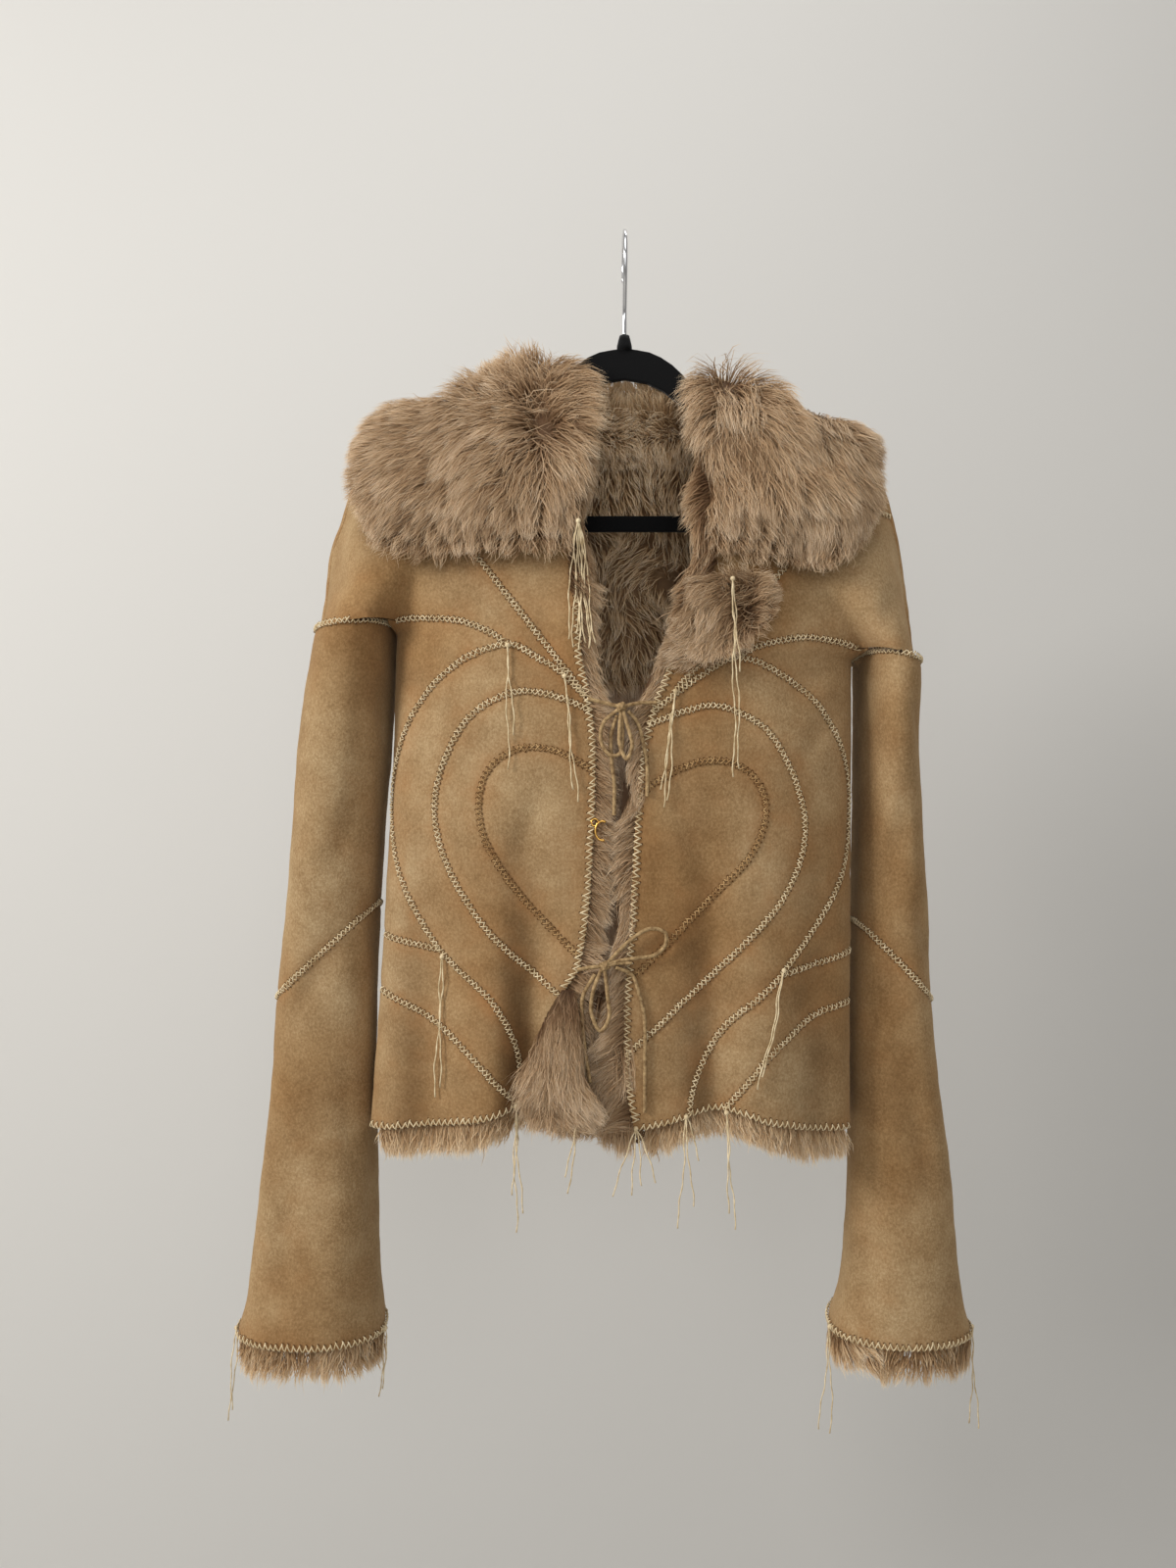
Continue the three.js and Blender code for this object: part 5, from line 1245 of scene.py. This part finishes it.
def on_face(face, line):
    """Points, outward normals and directions along a line of x, z places on the front or back."""
    x, z = line[:, 0], line[:, 1]
    cloth = front_y if face == FRONT else back_y
    y = cloth(x, z)
    dx, dz = (cloth(x + 1, z) - cloth(x - 1, z)) / 2, (cloth(x, z + 1) - cloth(x, z - 1)) / 2
    normal = unit(xyz(-dx, 1, -dz)) * face
    points = xyz(x, y, z)
    return points, normal, unit(np.gradient(points, axis=0))


def on_tube(side, places):
    tube = TUBES[side]
    a, z = places[:, 0], places[:, 1]
    points = tube(a, z)
    return points, normal_at(tube, a, z, -1 if side == LEFT else 1), unit(np.gradient(points, axis=0))


CROSS_PITCH, EDGE_PITCH = 3.9, 4.6
UP = np.array([0, 0, 1.0])
THREADS = {"light": [], "dark": []}
HOLE_SHADES = []


def add_threads(kind, starts, ends, normals, lift, radius=0.45):
    middle = (starts + ends) / 2
    span = ends - starts
    paths = np.stack([starts - normals * 0.5, starts + span * 0.2 + normals * lift * 0.8, middle + normals * lift,
                      ends - span * 0.2 + normals * lift * 0.8, ends - normals * 0.5], 1)
    THREADS[kind].append(tubes(paths, radius, 4, normals, False))


def add_hole_shades(points, normals, size):
    # Painted shade: a dark disc laid just over the leather at each needle hole.
    side = unit(np.cross(normals, np.array([0.3, 0.1, 0.9])))
    other = np.cross(normals, side)
    turn = np.arange(6) * np.pi / 3
    ring = (points + normals * 0.12)[:, None] + size * (side[:, None] * np.cos(turn)[:, None]
                                                         + other[:, None] * np.sin(turn)[:, None])
    one = np.array([[0, 1, 2], [0, 2, 3], [0, 3, 4], [0, 4, 5]])
    HOLE_SHADES.append((ring.reshape(-1, 3), (np.arange(len(points))[:, None, None] * 6 + one).reshape(-1, 3)))


def cross_stitch(spots, kind="light"):
    """Crossed stitches over a seam, a little uneven."""
    points, normals, along = spots
    if len(points) < 3:
        return
    across = unit(np.cross(along, normals))
    jitter = lambda: rng.normal(0, 0.28, (len(points), 1))
    reach, wide = CROSS_PITCH * 0.46, 2.2
    corner = lambda i, j: points + along * (i * reach + jitter()) + across * (j * wide + jitter())
    a, b, c, d = corner(-1, -1), corner(1, 1), corner(-1, 1), corner(1, -1)
    add_threads(kind, a, b, normals, 0.75)
    add_threads(kind, c, d, normals, 1.25)
    for spot in (a, c):
        add_hole_shades(spot, normals, 0.85)


def overcast(spots, inward, depth):
    """Zig-zag stitches over an edge."""
    points, normals, along = spots
    jitter = lambda size: rng.normal(0, size, (len(points), 1))
    inner = points + inward * (0.75 * depth + jitter(0.6)) + along * jitter(0.4)
    edge = points - inward * 0.4 + along * (EDGE_PITCH / 2 + jitter(0.4))
    add_threads("light", inner, edge, normals, 0.75, 0.5)
    add_threads("light", inner + along * EDGE_PITCH * 0.15, edge - along * EDGE_PITCH, normals, 1.1, 0.5)
    add_hole_shades(inner, normals, 0.85)


def cross_on(face, line, kind="light"):
    cross_stitch(on_face(face, resample(line, CROSS_PITCH)), kind)


def overcast_on(face, x, z, inward, depth):
    overcast(on_face(face, resample(np.stack([x, z], 1), EDGE_PITCH)), np.array(inward, float), depth)


def seam_line(line, keep):
    """The longest run of a line's points for which keep holds."""
    good = keep(line[:, 0], line[:, 1])
    best, start = (0, 0), None
    for i, ok in enumerate(np.r_[good, False]):
        if ok and start is None:
            start = i
        if not ok and start is not None:
            if i - start > best[1] - best[0]:
                best = (start, i)
            start = None
    return line[best[0]:best[1]]


def across_x(seam, start, end):
    x = np.linspace(start, end, 160)
    return np.stack([x, seam(x)], 1)


for s in (LEFT, RIGHT):
    inside = lambda x, z: (s * (x - FRONT_EDGE[s](z)) > 1) & (z > HEM(x) + 1)
    free = lambda x, z: inside(x, z) & (loops[s]["outer"](x, z) < -1)
    for key, kind in (("inner", "dark"), ("middle", "light"), ("outer", "light")):
        cross_on(FRONT, seam_line(catmull(RINGS[s][key], 400), inside), kind)
    armpit = crease_x(s, np.array([-330.0]))[0]
    span = (armpit + 3, -70) if s == LEFT else (66, armpit - 3)
    cross_on(FRONT, seam_line(across_x(UPPER_SEAM[s], *span), free))
    side_x = {LEFT: -196, RIGHT: 173}[s]
    for seam in (LOWER_SEAM[s], LOWEST_SEAM[s]):
        line = across_x(seam, *((side_x, -60) if s == LEFT else (44, side_x)))
        cross_on(FRONT, seam_line(line, lambda x, z: free(x, z) & (s * (BODY_EDGE[s](z) - x) > 2)))
    high, low = (np.array(v, float) for v in COLLAR_SEAM[s])
    line = high + (low - high) * np.linspace(0, 1, 120)[:, None]
    cross_on(FRONT, seam_line(line, lambda x, z: free(x, z) & (z < LEAF[s][0](x) + 6)))
    span = (-211, -186) if s == LEFT else (176, 209)
    cross_on(FRONT, across_x(SHOULDER_SEAM[s], *span))
    # Front edges and the hem.
    z = np.linspace(-290, -584, 200) if s == LEFT else np.linspace(-348, -684, 220)
    overcast_on(FRONT, FRONT_EDGE[s](z), z, (s, 0, 0), 6.5)
    x = np.linspace(-196, -70, 160) if s == LEFT else np.linspace(9, 171, 160)
    overcast_on(FRONT, x, HEM(x), UP, 6.0)
    # Sleeves: the head seam, the elbow seam and the cuff, all the way round.
    turns = np.linspace(0.004, 0.996, 500)
    tube = TUBES[s]

    def on_level(test):
        lowest, highest = np.full(500, -900.0), np.full(500, -300.0)
        for _ in range(24):
            middle_z = (lowest + highest) / 2
            p = tube(turns, middle_z)
            over = test(p[:, 0], middle_z, p[:, 1]) > 0
            lowest, highest = np.where(over, lowest, middle_z), np.where(over, middle_z, highest)
        return np.stack([turns, (lowest + highest) / 2], 1)

    def ring_spots(places, pitch):
        run = run_along(tube(places[:, 0], places[:, 1]))
        return on_tube(s, places_at(np.arange(pitch / 2, run[-1], pitch), run, places))

    head = on_level(lambda x, z, y: z - np.where(y < -2, UPPER_SEAM[s](x), BACK_YOKE(x) - 1.0))
    cross_stitch(ring_spots(head, CROSS_PITCH))
    elbow = on_level(lambda x, z, y: z - ELBOW[s](x))
    cross_stitch(ring_spots(elbow, CROSS_PITCH))
    cuff = np.stack([turns, np.full(500, CUFF_Z[s] + 0.4)], 1)
    overcast(ring_spots(cuff, EDGE_PITCH), UP, 6.5)

cross_on(BACK, across_x(BACK_YOKE, -172, 172))
x = np.linspace(-194, 170, 300)
overcast_on(BACK, x, BACK_HEM(x), UP, 6.0)

for kind, mat in (("light", THREAD), ("dark", THREAD_DARK)):
    stitches = build(f"stitches_{kind}", *join_parts(THREADS[kind]), [mat])
    finish_piece(stitches)
# The dark discs at the needle holes are painted shade.
finish_piece(build("stitch_hole_shades", *join_parts(HOLE_SHADES), [HOLE_SHADE], smooth=False))


# ---------------------------------------------------------------- laces
HEM_END = -690
FREE_Y = -78


def on_front(x, z, lift):
    """Places that lie lift in front of the jacket, or at FREE_Y where nothing is behind them."""
    base = front_y(x, np.maximum(z, HEM_END))
    base = np.where((z > HEM_END - 10) & (x > -200) & (x < 185), base, FREE_Y)
    return xyz(x, base - lift, z)


def braid(line, diameter):
    """A braided lace: a round tube whose surface rises and falls in a herringbone."""
    line = np.asarray(line, float)
    steps = max(8, int(length_of(line) / 0.8))
    path = spline(line, steps) if len(line) < 60 else line
    steps = len(path)
    sides = 12
    points, triangles = tubes(path[None], diameter / 2, sides)
    run = np.repeat(run_along(path), sides)
    turn = np.tile(np.arange(sides) * 2 * np.pi / sides, steps)
    wave = 0.1 * np.abs(np.sin(run * 2 * np.pi / 5.2 + turn)) + 0.1 * np.abs(np.sin(run * 2 * np.pi / 5.2 - turn))
    centre = np.repeat(path, sides, axis=0)
    return centre + (points - centre) * (1.04 - wave * 0.75)[:, None], triangles


LACE_D, LACE_LIFT = 3.0, 5.5
BOWS = {
    "upper": dict(knot=(-5, -380),
                  leads=[[(-29, -374), (-17, -377), (-5, -380)], [(21, -377), (9, -377), (-5, -380)]],
                  loops=[[(-6, -381), (-18, -392), (-19.5, -405), (-13, -415), (-6, -414), (-4, -400), (-5, -383)],
                         [(-4, -381), (0, -395), (3, -408), (-1, -418), (-6, -407), (-6, -394), (-5, -383)]],
                  tails=dict(left=[(-8, -386), (-12, -400), (-12, -416), (-10, -436), (-10, -459)],
                             right=[(0, -383), (7, -391), (11, -405), (14, -423), (14, -445)])),
    "lower": dict(knot=(-17, -568),
                  leads=[[(-37, -571), (-27, -569), (-17, -568)], [(3, -566), (-7, -566), (-17, -568)]],
                  loops=[[(-16, -567), (1, -550), (16, -541), (27, -544), (27, -553), (20, -560), (1, -563),
                          (-15, -566)],
                         [(-19, -570), (-25, -585), (-26.5, -602), (-20, -615), (-14, -606), (-15, -588),
                          (-17, -571)]],
                  tails=dict(left=[(-24, -574), (-33, -592), (-33, -610), (-31, -632), (-27.5, -654)],
                             right=[(-9, -569), (3, -575), (8, -588), (12, -606), (12.5, -640), (12.5, -676)])),
}


def ball(centre, size, rings=10, sides=14):
    pole = 0.02
    v = np.linspace(pole, np.pi - pole, rings)
    path = centre + xyz(0, 0, np.cos(v)) * size[2]
    points, triangles = tubes(path[None], (np.sin(v) * size[0])[None], sides)
    points[:, 1] = centre[1] + (points[:, 1] - centre[1]) * size[1] / size[0]
    return points, triangles


for name, bow in BOWS.items():
    kx, kz = bow["knot"]
    knot = on_front(np.array(float(kx)), np.array(float(kz)), LACE_LIFT + 1)
    parts = []
    for i, path in enumerate(bow["leads"] + bow["loops"]):
        path = np.array(path, float)
        raised = on_front(path[:, 0], path[:, 1], LACE_LIFT + (2.5 if i == 3 else 0.5))
        near = smooth(3, 14, np.hypot(raised[:, 0] - knot[0], raised[:, 2] - knot[2]))
        raised[:, 1] = mix(knot[1], raised[:, 1], near)
        parts.append(braid(raised, LACE_D))
    # The knot: two turns of the lace over a round core.
    parts.append(ball(knot, (3.4, 2.9, 3.4)))
    for tilt in (-0.7, 0.75):
        turn = np.linspace(0, 2 * np.pi, 40)
        wrap = xyz(3.1 * np.cos(turn), 2.6 * np.sin(turn), 1.2 * np.sin(turn + 1))
        rolled = wrap.copy()
        rolled[:, 0] = wrap[:, 0] * math.cos(tilt) - wrap[:, 2] * math.sin(tilt)
        rolled[:, 2] = wrap[:, 0] * math.sin(tilt) + wrap[:, 2] * math.cos(tilt)
        parts.append(braid(knot + rolled, LACE_D * 0.8))
    finish_piece(build(f"bow_{name}_lace", *join_parts(parts), [LACE]), [f"bow_{name}"])
    for side, path in bow["tails"].items():
        path = np.array(path, float)
        lift = np.full(len(path), 2.4)
        lift[0] = LACE_LIFT + 0.5
        line = spline(on_front(path[:, 0], path[:, 1], lift), 100)
        tail = build(f"tie_{name}_{side}_lace", *braid(line, LACE_D), [LACE])
        finish_piece(tail, [f"tie_{name}_{side}"])


# ---------------------------------------------------------------- thread tails
STRAND_R = 0.5


def hanging(name, root, ends, rest=3, face_front=True):
    """A bunch of sewing thread left long: a small head and strands that hang from it to their ends."""
    parts = [ball(root, (1.9, 1.9, 1.9), 7, 9)]
    strands = []
    for i, (ex, ez) in enumerate(ends):
        t = np.linspace(0, 1, 26)
        shift = (i - (len(ends) - 1) / 2) * 0.9
        x = mix(root[0], ex, t) + shift * smooth(0, 0.15, t)
        z = mix(root[2], ez, t)
        phase = rng.uniform(0, 6.28)
        run = abs(ez - root[2])
        x = x + 1.1 * np.sin(t * run / 11 + phase) * smooth(0, 0.25, t) + 0.35 * np.sin(t * run / 3.1 + phase)
        if face_front:
            y = mix(root[1], on_front(x, z, rest)[:, 1], smooth(0, 0.5, t)) - 0.4 * (i % 2)
        else:
            y = root[1] + 1.4 * np.sin(t * 3 + phase) * t
        strands.append(xyz(x, y + 0.3 * np.sin(t * run / 4 + phase), z))
    swell = STRAND_R * (1 + 0.22 * np.sin(np.arange(26) * 2.1))
    parts.append(tubes(np.array(strands), np.broadcast_to(swell, (len(strands), 26)), 5))
    nodes = [name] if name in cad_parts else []
    finish_piece(build(f"{name}_strands", *join_parts(parts), [THREAD]), nodes)


TASSELS = [
    ("thread_neck_left", (-36, -246), 26, 3, [(-41, -330), (-37.5, -336), (-34, -338), (-31, -333), (-28, -335),
                                               (-25, -333), (-39, -326), (-32, -337)]),
    ("thread_neck_right", (76, -287), 16.9, 18, [(81, -355), (76, -431), (79, -425)]),
    ("thread_yoke_left", (-88, -334), 2.5, 3, [(-87, -425), (-84, -400)]),
    ("thread_front_left", (-46, -357), 2.5, 3, [(-36, -449), (-40, -440)]),
    ("thread_front_right", (35, -368), 2.5, 3, [(26, -453), (29, -448), (23, -440)]),
    ("thread_side_left", (-137, -564), 2.5, 3, [(-142, -668), (-139, -660)]),
    ("thread_side_right", (115, -573), 2.5, 3, [(96, -659), (99, -650)]),
    ("thread_hem_left", (-82, -674), 2.6, 3, [(-80, -762), (-77, -748), (-84, -735)]),
    ("thread_hem_centre", (6, -688), 2.6, 3, [(-9, -736), (4, -735), (10, -728), (19, -726)]),
    ("thread_hem_right", (43, -680), 2.6, 3, [(38, -759), (47, -743), (52, -710)]),
    ("thread_corner", (-37, -672), 14, 14, [(-42, -730), (-45, -718)]),
    ("thread_hem_far", (73, -678), 2.6, 3, [(78, -760), (73, -748)]),
]
for name, (rx, rz), lift, rest, ends in TASSELS:
    root = on_front(np.array(float(rx)), np.array(float(rz)), lift)
    hanging(name, root, ends, rest)
CUFF_TAILS = [
    ("thread_cuff_left_outer", -304, LEFT, [(-309, -940), (-306, -932)]),
    ("thread_cuff_left_inner", -193, LEFT, [(-199, -922), (-196, -915)]),
    ("thread_cuff_right_inner", 166, RIGHT, [(160, -948), (168, -950)]),
    ("thread_cuff_right_outer", 271.8, RIGHT, [(270, -943), (274, -946)]),
]
for name, x, s, ends in CUFF_TAILS:
    middle = (SLEEVE[s][0](CUFF_Z[s]) + SLEEVE[s][1](CUFF_Z[s])) / 2
    outward = math.copysign(1, x - middle)
    root = np.array([x + outward * 3.4, -4.0, CUFF_Z[s] + 2.0])
    hanging(name, root, [(ex + outward * 5, ez) for ex, ez in ends], face_front=False)


# ---------------------------------------------------------------- hanger
HANGER_THICK = 5


def plate(name, node, line):
    """A flat moulding with its outline in the x, z plane and soft edges."""
    mesh = bpy.data.meshes.new(name)
    line = np.array(line, float) * MM
    count = len(line)
    points = [(x, y * HANGER_THICK * MM / 2, z) for y in (-1, 1) for x, z in line]
    sides = [(i, (i + 1) % count, (i + 1) % count + count, i + count) for i in range(count)]
    mesh.from_pydata(points, [], [tuple(range(count))[::-1], tuple(range(count, 2 * count)), *sides])
    mesh.materials.append(VELVET)
    made = bpy.data.objects.new(name, mesh)
    bpy.context.scene.collection.objects.link(made)
    soft = made.modifiers.new("edges", "BEVEL")
    soft.width, soft.segments, soft.limit_method, soft.angle_limit = 0.0012, 3, "ANGLE", 0.9
    finish_piece(made, [node])


ARM_TOP = table([[0, -89.7], [20, -93], [38, -103], [47, -111.5], [56, -125.5], [66, -132.6], [90, -140],
                 [130, -154.4], [162, -167], [172, -173], [178, -180], [181, -188]])
ARM_UNDER = table([[0, -114.6], [19, -118], [34, -126], [44, -134.5], [55, -141], [64, -144.5], [90, -156],
                   [130, -172], [150, -183], [162, -196]])
TOP_X = (0.8, 10, 20, 29, 38, 47, 56, 66, 78, 90, 110, 130, 146, 162, 172, 178, 181)
UNDER_X = (162, 150, 140, 125, 110, 97, 84, 73, 64, 54, 44, 31, 18, 0.8)
ARM_TIP = [(181, -200), (179, -218), (173, -230), (165, -235.5), (159.6, -235.5), (160.5, -223), (163.5, -208)]
half_line = [(x, float(ARM_TOP(x))) for x in TOP_X] + ARM_TIP + [(x, float(ARM_UNDER(x))) for x in UNDER_X]
plate("hanger_arms_velvet", "hanger_arms", half_line + [(-x, z) for x, z in half_line[::-1]])
plate("hanger_bar_velvet", "hanger_bar", [(-159, -223), (159, -223), (159, -235.5), (-159, -235.5)])
levels = np.array([[0.5, -79.6], [4, -79.7], [4.9, -83], [6, -88], [6, -91], [1, -92]])
plug = tubes(xyz(0, 0, levels[:, 1])[None], levels[:, 0][None], 20)
finish_piece(build("hanger_neck", *plug, [VELVET]))
hook = [(0, -79.2), (0, -72), (-1, -62), (-8, -50), (-17, -37), (-21.5, -25)]
for turn in range(180, -21, -10):
    angle = math.radians(turn)
    hook.append((21.75 * math.cos(angle), 21.75 * (math.sin(angle) - 1) + 1.75))
wire = spline([(0, y, z) for y, z in hook], 90)
tip = tubes(wire[None], 1.75, 16)
cap = ball(wire[-1], (1.8, 1.8, 1.8), 8, 16)
finish_piece(build("hanger_hook_wire", *join_parts([tip, cap]), [CHROME]), ["hanger_hook"])

# The small metal fur hook on the left front edge.
turn = np.linspace(-0.2, 3.7, 30)
hook_x, hook_z = -18.5 + 5.2 * np.cos(turn + 1.3), -470 + 7.0 * np.sin(turn + 1.3)
crescent = on_front(hook_x, hook_z, 2.2)
eye = on_front(-24 + 2.6 * np.cos(np.linspace(0, 6.28, 20)), -464 + 2.6 * np.sin(np.linspace(0, 6.28, 20)), 1.4)
finish_piece(build("fur_hook", *join_parts([tubes(crescent[None], 0.9, 8), tubes(eye[None], 0.7, 8)]), [BRASS]))

# ---------------------------------------------------------------- room and light
wall_mat = plain_material("backdrop", srgb(204, 202, 198), 1.0, 0.0)
# Seen from behind, the backdrop is clear.
nodes, links = wall_mat.node_tree.nodes, wall_mat.node_tree.links
clear, both = nodes.new("ShaderNodeBsdfTransparent"), nodes.new("ShaderNodeMixShader")
links.new(nodes.new("ShaderNodeNewGeometry").outputs["Backfacing"], both.inputs["Fac"])
links.new(nodes["Principled BSDF"].outputs[0], both.inputs[1])
links.new(clear.outputs[0], both.inputs[2])
links.new(both.outputs[0], nodes["Material Output"].inputs["Surface"])
ROOM, WALL_Y, WALL_TOP, FLOOR_Z = 4000, 520, 2600, -1700
CORNERS = {
    "backdrop": [(-ROOM, WALL_Y, -WALL_TOP), (ROOM, WALL_Y, -WALL_TOP), (ROOM, WALL_Y, WALL_TOP),
                 (-ROOM, WALL_Y, WALL_TOP)],
    "floor": [(-ROOM, -ROOM, FLOOR_Z), (ROOM, -ROOM, FLOOR_Z), (ROOM, WALL_Y, FLOOR_Z), (-ROOM, WALL_Y, FLOOR_Z)],
}
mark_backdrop(*(build(name, corners, [(0, 1, 2), (0, 2, 3)], [wall_mat], smooth=False)
           for name, corners in CORNERS.items()))

world = bpy.data.worlds.new("world")
bpy.context.scene.world = world
world.use_nodes = True
world.node_tree.nodes["Background"].inputs["Color"].default_value = (1.0, 0.99, 0.97, 1)
world.node_tree.nodes["Background"].inputs["Strength"].default_value = 0.36


def lamp(name, place, aim, size, power, color=(1, 1, 1)):
    data = bpy.data.lights.new(name, "AREA")
    data.shape, data.size, data.energy, data.color = "DISK", size, power, color
    made = bpy.data.objects.new(name, data)
    bpy.context.scene.collection.objects.link(made)
    made.location = place
    direction = np.array(aim, float) - np.array(place, float)
    made.rotation_euler = (math.atan2(math.hypot(direction[0], direction[1]), -direction[2]), 0,
                           math.atan2(direction[0], -direction[1]) + math.pi)


lamp("key", (-2.3, -1.25, 0.55), (0, 0, -0.45), 0.9, 60, (1.0, 0.985, 0.96))
lamp("front", (-0.1, -2.3, -0.1), (0, 0, -0.4), 1.4, 12)
lamp("top_fill", (0.05, -0.6, 0.6), (0, 0.02, -0.2), 0.7, 3.6)
lamp("back_light", (0.3, 0.42, 1.3), (0, 0.2, -0.2), 1.0, 7)
bpy.context.scene.view_settings.view_transform = "Standard"

low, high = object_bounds()
